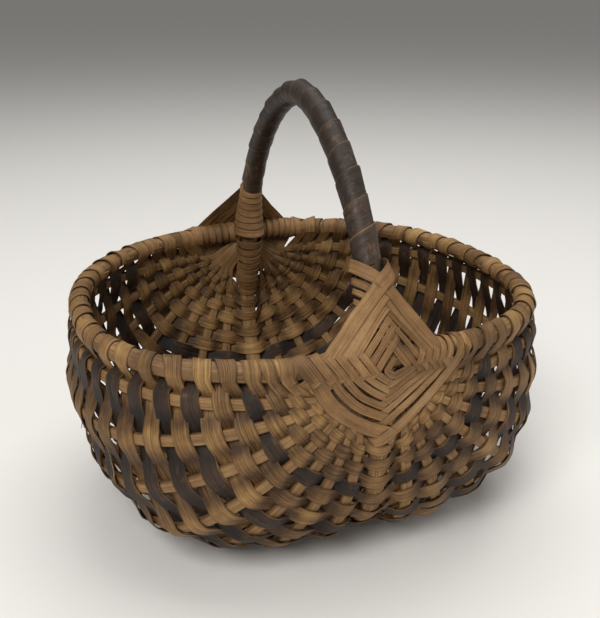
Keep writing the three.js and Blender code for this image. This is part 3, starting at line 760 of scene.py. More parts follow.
    def _line_object(self, name: str, stocks: list[Stock]) -> bpy.types.Object:
        """Returns an object of bare lines that carry what the tree needs to know."""
        points, edges, columns = [], [], {}
        start = 0
        for stock in stocks:
            count = len(stock.centre)
            points.append(stock.centre * MM)
            edges += [(start + i, start + i + 1) for i in range(count - 1)]
            if stock.closed:
                edges.append((start + count - 1, start))
            finish = np.zeros((count, 3))
            finish[:, 0], finish[:, 1], finish[:, 2] = stock.dark_face, stock.tone, stock.seed
            for key, values in {
                    "across": stock.across(), "facing": stock.facing,
                    "half_width": stock.half_width * MM, "half_thickness": stock.half_thickness * MM,
                    "split": np.zeros((count, 3)) if stock.split is None else stock.split,
                    "finish": finish, "along": stock.along() * MM}.items():
                columns.setdefault(key, []).append(values)
            start += count
        mesh = bpy.data.meshes.new(f"{name}_lines")
        mesh.from_pydata(np.concatenate(points).tolist(), edges, [])
        for key, parts in columns.items():
            values = np.concatenate(parts).astype(np.float32)
            is_vector = values.ndim == 2
            layer = mesh.attributes.new(key, "FLOAT_VECTOR" if is_vector else "FLOAT", "POINT")
            layer.data.foreach_set("vector" if is_vector else "value", values.ravel())
        return add_object(mesh.name, mesh)

    def _settle(self, mesh: bpy.types.Mesh) -> None:
        """Turns the faces outwards and presses what stands on the floor flat."""
        count = len(mesh.vertices)
        places = np.zeros(count * 3, np.float32)
        mesh.vertices.foreach_get("co", places)
        places = places.reshape(-1, 3)
        places[:, 2] = np.maximum(places[:, 2], 0.0)
        mesh.vertices.foreach_set("co", places.ravel())
        mesh.calc_loop_triangles()
        corners = np.zeros(len(mesh.loop_triangles) * 3, np.int32)
        mesh.loop_triangles.foreach_get("vertices", corners)
        a, b, c = (places[corners.reshape(-1, 3)[:, i]].astype(float) for i in range(3))
        if np.sum(a * np.cross(b, c)) < 0:
            mesh.flip_normals()
        mesh.update()

    def clear(self) -> None:
        """Removes the sections once every piece is made."""
        for made in self.sections.values():
            bpy.data.objects.remove(made)


# Finishes


SEED_STEP = 7.31
# Where the colours and the edges lie on their scales. Blotches and scuffs are counted to a metre.
WOOD_STOPS = (0.34, 0.46, 0.56, 0.70)
DARK_STOPS = (0.36, 0.52, 0.68)
BLOTCHES = (24.0, 24.0, 24.0)
FINE_BLOTCHES = (130.0, 130.0, 130.0)
SCUFFS = (190.0, 190.0, 75.0)
OPEN_LINES = (0.58, 0.66)
SCUFFED = (0.55, 0.68)
DIRT_AND_SHADE_SIDE = (0.8, 1.0)
TURNED_OUT = (0.35, 0.6)
EDGE_OF_FACE = 0.98


@dataclass(frozen=True)
class OakFinish:
    """Oak that was split or shaved by hand, with streaks along its length.

    Attributes:
        name: The material's name.
        shades: Four colours from the deepest grain to the palest.
        streak_length: Usual length of a streak, in millimetres.
        streak_width: Usual width of a streak, in millimetres.
        streak_share: How much the streaks change the shade.
        line_strength: How dark the open grain lines are.
        bump: Height of the grain, in millimetres.
        roughness: How dull the surface is.
        dark_shades: Three colours of the dark face, if the stock has one.
        edge_dirt_and_shade: How dark both edges grow, partly with dirt and partly with painted shade
            where they meet the next strip.
        worn_edge: Share of the dark face's half width that is rubbed back to the wood.
        scuffs: How much of the dark face is rubbed back elsewhere.
    """

    name: str
    shades: tuple[str, str, str, str]
    streak_length: float = 45.0
    streak_width: float = 0.8
    streak_share: float = 0.42
    line_strength: float = 0.5
    bump: float = 0.16
    roughness: float = 0.62
    dark_shades: tuple[str, str, str] | None = None
    edge_dirt_and_shade: float = 0.45
    worn_edge: float = 0.06
    scuffs: float = 0.0

    def build(self) -> Material:
        """Returns the material."""
        made = bpy.data.materials.new(self.name)
        made.use_nodes = True
        tree = made.node_tree
        tree.nodes.clear()
        add, number, vector = node_makers(tree)
        grain, face = (add("ShaderNodeAttribute", {"attribute_name": name}).outputs["Vector"]
                       for name in ("grain", "face"))
        across_face, turned_out, tone = add("ShaderNodeSeparateXYZ", inputs={"Vector": face}).outputs
        place = add("ShaderNodeTexCoord").outputs["Object"]

        def noise(where: Socket, scale: tuple[float, float, float],
                  detail: float) -> Socket:
            """Returns noise over a vector that is scaled first."""
            return add("ShaderNodeTexNoise", inputs={
                "Vector": vector("MULTIPLY", Vector=where, Vector_001=scale), "Scale": 1.0,
                "Detail": detail, "Roughness": 0.6}).outputs["Fac"]

        def step(value: Socket, low: float, high: float) -> Socket:
            """Returns 0 below low, 1 above high, and an eased rise between them."""
            return add("ShaderNodeMapRange", {"interpolation_type": "SMOOTHSTEP"}, {
                "Value": value, "From Min": low, "From Max": high}).outputs["Result"]

        def ramp(stops: tuple[float, ...], codes: tuple[str, ...]) -> Socket:
            """Returns a colour that changes with the shade."""
            node = add("ShaderNodeValToRGB", inputs={"Fac": shade})
            elements = node.color_ramp.elements
            while len(elements) < len(stops):
                elements.new(0.5)
            for element, position, code in zip(elements, stops, codes):
                element.position = position
                element.color = from_hex(code)
            return node.outputs["Color"]

        def blend(share: object, low: Socket, high: object) -> Socket:
            """Returns a mix of two colours."""
            node = add("ShaderNodeMix", {"data_type": "RGBA"}, {
                "Factor_Float": share, "A_Color": low, "B_Color": high})
            return next(s for s in node.outputs if s.identifier == "Result_Color")

        # Streaks to a metre
        along, across = 1000 / self.streak_length, 1000 / self.streak_width
        streak = noise(grain, (along, across, SEED_STEP), 4.0)
        fibre = noise(grain, (along * 5, across * 3.2, SEED_STEP * 0.7), 3.0)
        pores = noise(grain, (along * 1.6, across * 1.7, SEED_STEP * 1.9), 2.0)
        blotch = noise(place, BLOTCHES, 3.0)
        fine_blotch = noise(place, FINE_BLOTCHES, 3.0)
        shade = number("MULTIPLY_ADD", streak, self.streak_share, number("MULTIPLY", fibre, 0.2))
        shade = number("ADD", shade, (0.62 - self.streak_share) / 2)
        shade = number("MULTIPLY_ADD", blotch, 0.34, shade)
        shade = number("MULTIPLY_ADD", fine_blotch, 0.14, shade)
        shade = number("ADD", number("SUBTRACT", shade, 0.15), tone)
        deepest = from_hex(self.shades[0])
        lines = step(pores, *OPEN_LINES)
        bare = ramp(WOOD_STOPS, self.shades)
        bare = blend(number("MULTIPLY", lines, self.line_strength), bare, deepest)
        side = number("ABSOLUTE", across_face)
        # Both edges go towards the deepest shade: partly dirt, partly painted shade for the crevices
        # and the shadow lines under the next strip's edge.
        edge_dirt_and_painted_shade = number("MULTIPLY", step(side, *DIRT_AND_SHADE_SIDE), self.edge_dirt_and_shade)
        colour = blend(edge_dirt_and_painted_shade, bare, deepest)
        if self.dark_shades:
            dark = ramp(DARK_STOPS, self.dark_shades)
            cover = step(turned_out, *TURNED_OUT)
            rough_side = number("MULTIPLY_ADD", number("SUBTRACT", streak, 0.5), 0.3, side)
            rubbed_from = EDGE_OF_FACE - self.worn_edge
            worn = step(rough_side, rubbed_from - 0.05, rubbed_from + 0.03)
            cover = number("MULTIPLY", cover, number("SUBTRACT", 1.0, number("MULTIPLY", worn, 0.85)))
            if self.scuffs:
                rubbed = step(noise(place, SCUFFS, 4.0), *SCUFFED)
                rubbed = number("MULTIPLY", rubbed, self.scuffs)
                cover = number("MULTIPLY", cover, number("SUBTRACT", 1.0, rubbed))
            colour = blend(cover, colour, dark)
        relief = number("MULTIPLY_ADD", streak, 0.7, number("MULTIPLY", fibre, 0.45))
        relief = number("SUBTRACT", relief, number("MULTIPLY", lines, 0.35))
        bumped = add("ShaderNodeBump", inputs={
            "Strength": 1.0, "Distance": self.bump * MM, "Height": relief}).outputs["Normal"]
        dull = number("MULTIPLY_ADD", streak, 0.2, self.roughness - 0.1)
        shader = add("ShaderNodeBsdfPrincipled", inputs={
            "Base Color": colour, "Roughness": dull, "Specular IOR Level": 0.3, "Normal": bumped})
        add("ShaderNodeOutputMaterial", inputs={"Surface": shader.outputs["BSDF"]})
        return made


# Tan splint wood. Most splints have one darker, weathered side, turned out on every other row.
WOVEN = OakFinish("woven_oak_splint_split_by_hand", ("3E2A17", "725330", "967345", "B8965F"),
                  dark_shades=("1B130D", "38281D", "564234"), scuffs=0.25)
# Brighter binding splint that catches the light on the eye of each ear. Its edges are darkened more,
# with dirt and painted shade for the lines between the strips of the eye.
LASHING = OakFinish("ear_lashing_oak_splint_split_by_hand", ("513820", "7B5A36", "96724A", "C09E70"),
                    streak_length=60.0, streak_width=0.55, streak_share=0.38, line_strength=0.3,
                    edge_dirt_and_shade=0.6)
# Blackened binding of the handle, rubbed back to the wood where a hand takes hold.
WRAP = OakFinish("blackened_oak_splint_wound_by_hand", ("4A3522", "6B4F33", "86663F", "9D7C54"),
                 streak_length=30.0, streak_width=0.7, bump=0.12, roughness=0.5,
                 dark_shades=("211912", "403228", "665447"), worn_edge=0.05, scuffs=0.6)
# Shaved ribs, redder and smoother than the splints.
RIB = OakFinish("oak_rib_shaved_with_a_knife", ("4B3520", "795A38", "917048", "AB895B"),
                streak_length=70.0, streak_width=1.3, bump=0.1, line_strength=0.35)
# The two hoops, browner, with open dark grain where they show between the turns.
HOOP = OakFinish("oak_hoop_bent_and_shaved", ("44301D", "765838", "8F6E47", "A98759"),
                 streak_length=60.0, streak_width=1.1, bump=0.18, line_strength=0.7)


# Sub-assemblies


def dress(piece: bpy.types.Object, node: str) -> None:
    """Puts a piece in the place of a node, on the basket's one body."""
    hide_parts(node)
    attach(piece, "root")
    faces = len(piece.data.polygons)
    LOG.info("%s stands for %s, %d faces", piece.name, node, faces)


@dataclass
class Maker:
    """What the makers of the pieces share.

    Attributes:
        plan: The lines of the basket.
        bender: Makes the meshes.
        material: The pieces' finish.
        section: Their section.
        slot: Their material slot; not used.
        unevenness: How far their surface swells and sinks.
        unevenness_length: The usual distance between two swellings.
    """

    plan: Plan
    bender: Bender
    material: Material
    section: Section = Section.SPLINT
    slot: str = ""
    unevenness: float = 0.0
    unevenness_length: float = 9.0

    def add(self, name: str, node: str, stocks: list[Stock]) -> None:
        """Makes a piece of its lengths of stock and puts it in the place of a node."""
        made = self.bender.make(name, stocks, self.section, self.material, self.unevenness,
                                self.unevenness_length)
        dress(made, node)


@dataclass
class Hoops(Maker):
    """The rim hoop and the upright hoop, whose upper half is the handle and lower half the keel."""

    section: Section = Section.ROD
    slot: str = "hoop_wood"
    unevenness: float = 1.1
    unevenness_length: float = 14.0
    points: int = 340

    def _loop(self, there: Track, back: Track) -> np.ndarray:
        """Returns the points of a hoop from its two halves."""
        half = self.points // 2
        shares = np.linspace(0.0, 1.0, half, endpoint=False)
        return np.concatenate([there.at(shares * there.length), back.at(back.length * (1 - shares))])

    def make(self) -> None:
        """Makes both hoops."""
        plan, sizes = self.plan, self.plan.sizes
        line = self._loop(plan.rims[-1], plan.rims[1])
        radius = np.full(len(line), sizes.rim_rod_radius)
        level = np.tile(UP, (len(line), 1))
        rim = Stock(line, level, radius, radius, Seed.RIM_HOOP, closed=True).squared()
        line = self._loop(plan.handle, plan.keel)
        wide = np.full(len(line), sizes.hoop_rod_radius)
        tall = plan.keel_half_thickness(line[:, 2])
        upright = Stock(line, np.zeros_like(line), wide, tall, Seed.UPRIGHT_HOOP, closed=True)
        upright.facing = unit(np.cross(ACROSS, upright.tangent()))
        for node, stock in (("rim_hoop", rim), ("handle_hoop", upright)):
            self.add(f"oak_{node}", node, [stock])


@dataclass
class Ribs(Maker):
    """The ribs of both lobes, shaved flat and thinned towards the ears.

    Their tips run on further under the lashings than those of the solids.
    """

    section: Section = Section.RIB
    slot: str = "rib_wood"
    unevenness: float = 0.9
    unevenness_length: float = 18.0
    spacing: float = 2.4
    end_clearance: float = 12.0
    width_swing: float = 0.05
    tone_swing: float = 0.02
    tip_width_scale: float = 0.55
    full_width_distance: float = 96.0

    def _stock(self, place: int) -> Stock:
        """Returns one rib's stock."""
        plan = self.plan
        stake = plan.stakes[place]
        count = int(stake.length / self.spacing)
        places = np.linspace(self.end_clearance, stake.length - self.end_clearance, count)
        facing = np.array([plan.outward(place, distance) for distance in places])
        facing = soften(facing, self.spacing, 3 * self.spacing)
        scale = plan.rib_scale(place, places)
        from_tip = np.minimum(places, stake.length - places) - plan.sizes.rib_tip_distance
        reached = from_tip / (self.full_width_distance - plan.sizes.rib_tip_distance)
        widening = mix(self.tip_width_scale, 1.0, smooth(reached))
        widening = widening * (1 + self.width_swing * wander(Seed.RIB_SWELL + place, places, 70))
        return Stock(stake.at(places), facing, plan.sizes.rib_half_width * widening,
                     plan.sizes.rib_half_thickness * scale, Seed.RIB + place,
                     tone=self.tone_swing * wander(place, places, 90)).squared()

    def make(self) -> None:
        """Makes the ribs of both lobes."""
        last = self.plan.last_place
        for order in range(self.plan.sizes.ribs_per_side):
            for side, place in (("left", order + 1), ("right", last - 1 - order)):
                node = f"{side}_rib_{order + 1}"
                self.add(f"oak_{node}", node, [self._stock(place)])


@dataclass
class Splints(Maker):
    """The woven splints: each goes over and under the ribs, round a rim and back a row further."""

    slot: str = "woven_splint"
    unevenness: float = 0.25
    half_thickness: float = 0.5
    full_width: float = 12.6
    over_share: float = 1.28
    between_share: float = 1.2
    rim_width: float = 11.2
    rim_start_share: float = 1.25
    first_turn_width: float = 17.0
    # Painted shade: the strips are darker midway between the stakes, where they pass under their
    # neighbours.
    between_painted_shade: float = -0.15
    over_tone: float = -0.01
    clearance: float = 0.35
    rib_flat: float = 4.0
    keel_angle: float = 0.85
    rim_step: float = 0.26
    tuck_angle: float = 3.55
    end_angles: tuple[float, float] = (3.9, 3.1)
    spacing: float = 1.6
    stiffness: float = 1.8
    tan_splints: tuple[int, ...] = (0, 1, 3, 20, 21, 22, 23)
    sideways_swing: float = 0.55
    roll_swing: float = 0.11
    width_swing: float = 0.05
    thickness_swing: float = 0.12
    tone_swing: float = 0.035
    bow: float = 1.0
    bow_everywhere: float = 0.35
    bow_where_loose: float = 0.9
    loose_below: float = 70.0
    loose_over: float = 60.0
    odd_row_share: float = 0.95
    twist_count: int = 4
    twists: tuple[float, float] = (-0.3, 0.3)
    twist_spans: tuple[float, float] = (7, 14)
    width_shares: tuple[float, float] = (0.96, 1.03)
    tones: tuple[float, float] = (-0.05, 0.05)
    sliver_points: tuple[int, int] = (8, 19)
    sliver_rises: tuple[float, float] = (1.5, 4.5)
    sliver_drifts: tuple[float, float] = (0.3, 2.5)
    sliver_half_width: float = 0.75
    sliver_half_thickness: float = 0.32
    sliver_height_share: float = 0.62
    sliver_splints: dict[int, int] = field(default_factory=lambda: {
        5: 1, 8: 2, 9: 2, 10: 2, 11: 3, 12: 3, 13: 2, 14: 3, 16: 2, 18: 1})

    def is_outside(self, row: int, place: int) -> bool:
        """Returns whether a row passes outside a stake."""
        return (row + place) % 2 == 0

    def _half_width(self, row: int, pitch: float) -> float:
        """Returns half the strip's width over a stake, where each row has a length of its own."""
        broad = 1.0 if row % 2 == 0 else self.odd_row_share
        return broad * min(self.full_width, self.over_share * pitch) / 2

    def _widest(self, row: int) -> float:
        """Returns how wide the strip may be on the rim, which is more beside an ear."""
        beside_ear = row < 2 or row >= self.plan.row_count - 2
        return self.first_turn_width if beside_ear else self.rim_width

    def _face(self, row: int) -> float:
        """Returns 1 where the tan face looks out of the basket, on even rows, and else -1."""
        return 1.0 if row % 2 == 0 else -1.0

    def _lift(self, row: int, place: int) -> float:
        """Returns the strip's height off a rib's middle, outwards."""
        plan = self.plan
        here = plan.crossing(row, place)
        level = plan.sizes.rib_half_thickness * plan.rib_scale(place, here.distance)
        level += self.clearance + self.half_thickness
        return level if self.is_outside(row, place) else -level

    def _over_rib(self, row: int, place: int) -> list[Station]:
        """Returns the strip's places over or under a rib."""
        plan = self.plan
        here = plan.crossing(row, place)
        before, after = (plan.crossing(row, place + step).point for step in (-1, 1))
        onward = square_to(after - before, here.out)
        lift = self._lift(row, place)
        if lift > 0:
            loose = smooth((self.loose_below - here.point[2]) / self.loose_over)
            uneven = 1 + wander(Seed.SPLINT_BOW + row, 31.0 * place, 100)
            lift += self.bow * (self.bow_everywhere + self.bow_where_loose * loose) * uneven / 2
        flat = self.rib_flat * plan.rib_scale(place, here.distance)
        facing = here.out * self._face(row)
        wide = self._half_width(row, here.pitch)
        middle = here.point + here.out * lift
        return [Station(middle + onward * along, facing, wide, self.over_tone)
                for along in (-flat, 0.0, flat)]

    def _over_keel(self, row: int) -> list[Station]:
        """Returns the strip's places over or under the keel."""
        plan = self.plan
        here = plan.crossing(row, plan.keel_place)
        sign = 1.0 if self.is_outside(row, plan.keel_place) else -1.0
        room = self.clearance + self.half_thickness
        wide = plan.sizes.hoop_rod_radius + room
        tall = plan.keel_half_thickness(here.point[2]) + room
        stations = []
        for turn in (-1.0, -0.5, 0.0, 0.5, 1.0):
            angle = turn * self.keel_angle
            outward = here.out * sign * math.cos(angle)
            point = here.point + ACROSS * math.sin(angle) * wide + outward * tall
            facing = (ACROSS * math.sin(angle) + outward) * sign * self._face(row)
            stations.append(Station(point, facing, self._half_width(row, here.pitch), self.over_tone))
        return stations

    def _round_rim(self, place: int, rows: tuple[int, int], last_angle: float | None) -> list[Station]:
        """Bends the strip up over the rim and down inside it.

        Args:
            place: Which rim half.
            rows: The row that it comes from and the row that it goes on to.
            last_angle: Where it ends, or None where it goes on to the second row.

        Returns:
            The strip's places, from outside to inside.
        """
        plan = self.plan
        start, end = (plan.crossing(row, place) for row in rows)
        rib_place = 1 if place == 0 else plan.last_place - 1
        radius = plan.sizes.rim_rod_radius + self.clearance + self.half_thickness
        widest = self._widest(rows[0])

        def leaves_rim(row: int, here: Crossing, sign: float) -> float:
            """Returns the angle at which the strip touches the rim on its way from the rib."""
            rib = plan.crossing(row, rib_place)
            below = rib.point + rib.out * self._lift(row, rib_place) - here.point
            out, up = float(below @ here.out), float(below[2])
            return math.atan2(up, out) + sign * math.acos(min(1.0, radius / math.hypot(out, up)))

        first = leaves_rim(rows[0], start, 1.0)
        last = last_angle or leaves_rim(rows[1], end, -1.0) + 2 * math.pi
        count = max(4, int((last - first) / self.rim_step))
        drift = 0.5 if last_angle else 1.0
        stations = []
        for i in range(count + 1):
            angle = mix(first, last, i / count)
            share = drift * smooth((i / count - 0.15) / 0.7)
            stations.append(self._on_rim(place, mix(start.distance, end.distance, share), angle,
                                         mix(start.pitch, end.pitch, share), i / count, widest))
        return stations

    def _on_rim(self, place: int, distance: float, angle: float, pitch: float, share: float,
                widest: float) -> Station:
        """Returns the strip's place at an angle round the rim, from level outwards over the top."""
        plan = self.plan
        stake = plan.stakes[place]
        out = plan.outward(place, distance)
        radial = out * math.cos(angle) + UP * math.sin(angle)
        radius = plan.sizes.rim_rod_radius + self.clearance + self.half_thickness + 0.15
        lanes = 1 + 0.75 * smooth(share / 0.3)
        wide = min(widest, self.rim_start_share * lanes * pitch * widest / self.rim_width) / 2
        return Station(stake.at(distance) + radial * radius, radial, wide)

    def _row(self, row: int) -> list[Station]:
        """Returns one row from left to right, without its ends at the rim."""
        stations = []
        for place in range(1, self.plan.last_place):
            keel = place == self.plan.keel_place
            crossed = self._over_keel(row) if keel else self._over_rib(row, place)
            if stations:
                pitch = self.plan.crossing(row, place).pitch
                stations.append(self._between(stations[-1], crossed[0], pitch))
            stations += crossed
        return stations

    def _between(self, before: Station, after: Station, pitch: float) -> Station:
        """Returns the strip's place midway between two stakes, where neighbours share the room."""
        wide = min(before.half_width, after.half_width, self.between_share * pitch / 2)
        middle = (before.point + after.point) / 2
        # The darker tone here is painted shade in the dip between the stakes.
        return Station(middle, before.facing + after.facing, wide, self.between_painted_shade)

    def _stations(self, index: int) -> list[Station]:
        """Returns a whole splint: tucked end, rim, row, rim, row back, tucked end."""
        plan = self.plan
        outer, inner = 2 * index, 2 * index + 1
        turns_right = index % 2 == 0
        start, turn = (0, plan.last_place) if turns_right else (plan.last_place, 0)
        away, back = self._row(outer), self._row(inner)
        tuck = self._round_rim(start, (outer, inner), self.tuck_angle)[::-1]
        over = self._round_rim(turn, (outer, inner), None)
        end = plan.crossing(inner, start)
        tail = [self._on_rim(start, end.distance, angle, end.pitch, 0.0, self.rim_width)
                for angle in np.linspace(*self.end_angles, 4)]
        if turns_right:
            return tuck + away + over + back[::-1] + tail
        return tuck + away[::-1] + over + back + tail

    def _stock(self, index: int) -> Stock:
        """Returns one splint's stock, with the unevenness of split wood."""
        rng = np.random.default_rng(Seed.SPLINT_DRAWS + index)
        stock = bend_stock(self._stations(index), self.half_thickness, self.spacing, self.stiffness,
                           Seed.SPLINT + index)
        along, across = stock.along(), stock.across()
        first_wave = Seed.WAVES_OF_ONE_SPLINT * index

        def wave(order: int, length: float) -> np.ndarray:
            """Returns one of the splint's own slow waves, by its number and its length."""
            return wander(first_wave + order, along, length)

        stock.centre = stock.centre + across * (self.sideways_swing * wave(1, 85))[:, None]
        roll = self.roll_swing * wave(2, 47)
        for _ in range(self.twist_count):
            at, size = rng.uniform(0, along[-1]), rng.uniform(*self.twists)
            span = rng.uniform(*self.twist_spans)
            roll = roll + size * np.exp(-(((along - at) / span) ** 2))
        stock.facing = turn_about(stock.facing, stock.tangent(), roll)
        widening = rng.uniform(*self.width_shares) + self.width_swing * wave(3, 38)
        stock.half_width = stock.half_width * widening
        stock.half_thickness = stock.half_thickness * (1 + self.thickness_swing * wave(4, 60))
        stock.tone = stock.tone + rng.uniform(*self.tones) + self.tone_swing * wave(5, 130)
        stock.dark_face = 0.0 if index in self.tan_splints else -1.0
        stock.split = split_depths(first_wave + 6, along, 75, -0.08, 0.6)
        return stock

    def _slivers(self, stock: Stock, index: int) -> list[Stock]:
        """Returns the thin strands that have torn off a splint's edges."""
        rng = np.random.default_rng(Seed.SLIVER_DRAWS + index)
        low = np.flatnonzero(stock.centre[:, 2] < self.sliver_height_share * self.plan.rim_height)
        low = low[(low > 20) & (low < len(stock.centre) - 30)]
        slivers = []
        across = stock.across()
        middle = np.array([0.0, 0.0, 0.9 * self.plan.rim_height])
        for order in range(self.sliver_splints.get(index, 0)):
            start = int(rng.choice(low))
            length = int(rng.integers(*self.sliver_points))
            picked = np.arange(start, start + length)
            share = np.linspace(0.0, 1.0, length)
            side = rng.choice([-1.0, 1.0])
            outward = np.sign(np.sum(stock.facing[start] * (stock.centre[start] - middle)))
            rise = rng.uniform(*self.sliver_rises) * share**2
            strayed = rng.uniform(*self.sliver_drifts) * share
            drift = side * (stock.half_width[picked] - 0.2 + strayed)
            centre = stock.centre[picked] + across[picked] * drift[:, None]
            centre = centre + stock.facing[picked] * (outward * (0.3 + rise))[:, None]
            slivers.append(Stock(centre, stock.facing[picked],
                                 self.sliver_half_width * (1.05 - 0.8 * share),
                                 self.sliver_half_thickness * (1.05 - 0.6 * share),
                                 Seed.SLIVER + 10 * index + order, tone=0.08).squared())
        return slivers

    def make(self) -> None:
        """Makes every splint."""
        for index in range(self.plan.sizes.splint_count):
            stock = self._stock(index)
            number = f"{index + 1:02d}"
            self.add(f"split_oak_splint_{number}", f"woven_splint_{number}",
                     [stock, *self._slivers(stock, index)])


class Hold(NamedTuple):
    """How a lashing's strip lies on one arm of the cross.

    Attributes:
        first: Where the first round crosses the arm's middle, measured from the ear.
        last: Where the last round crosses it.
        half_width: Half the strip's width on its way to the next arm, save in the last round.
        last_half_width: The same in the last round.
        first_pile: How much the layers of the loops add to the arm at the first round.
        last_pile: The same at the last round.
    """

    first: float
    last: float
    half_width: float
    last_half_width: float
    first_pile: float
    last_pile: float


# The top, left (-X), bottom and right (+X) arm of each ear. The strips reach further here than
# the lashings of the solids do.
FRONT_HOLDS = (Hold(5.2, 46.5, 2.3, 5.0, 4.4, 4.4), Hold(5.6, 49.5, 2.5, 5.2, 1.4, 1.2),
               Hold(7.4, 49.5, 2.3, 4.0, 1.4, 1.0), Hold(6.8, 45.0, 1.8, 4.2, 1.4, 1.2))
REAR_HOLDS = (Hold(4.5, 45.0, 3.8, 4.6, 5.2, 1.0), Hold(6.0, 46.0, 3.6, 5.2, 0.7, 0.9),
              Hold(5.0, 46.0, 3.8, 5.2, 3.0, 1.2), Hold(6.0, 46.0, 3.6, 4.6, 0.7, 0.9))


class Arm(NamedTuple):
    """One arm of the cross that an ear lashing is wound on.

    Attributes:
        hold: How the strip lies on it.
        track: The arm's line, measured from the ear.
        onward: The direction towards the next arm.
        rod: The arm's radius.
        set_back: 1 where the arm stands behind the rim, else 0.
        bulge: How far the last round stands out beyond a straight line to the next arm.
    """

    hold: Hold
    track: Track
    onward: np.ndarray
    rod: float
    set_back: float
    bulge: float


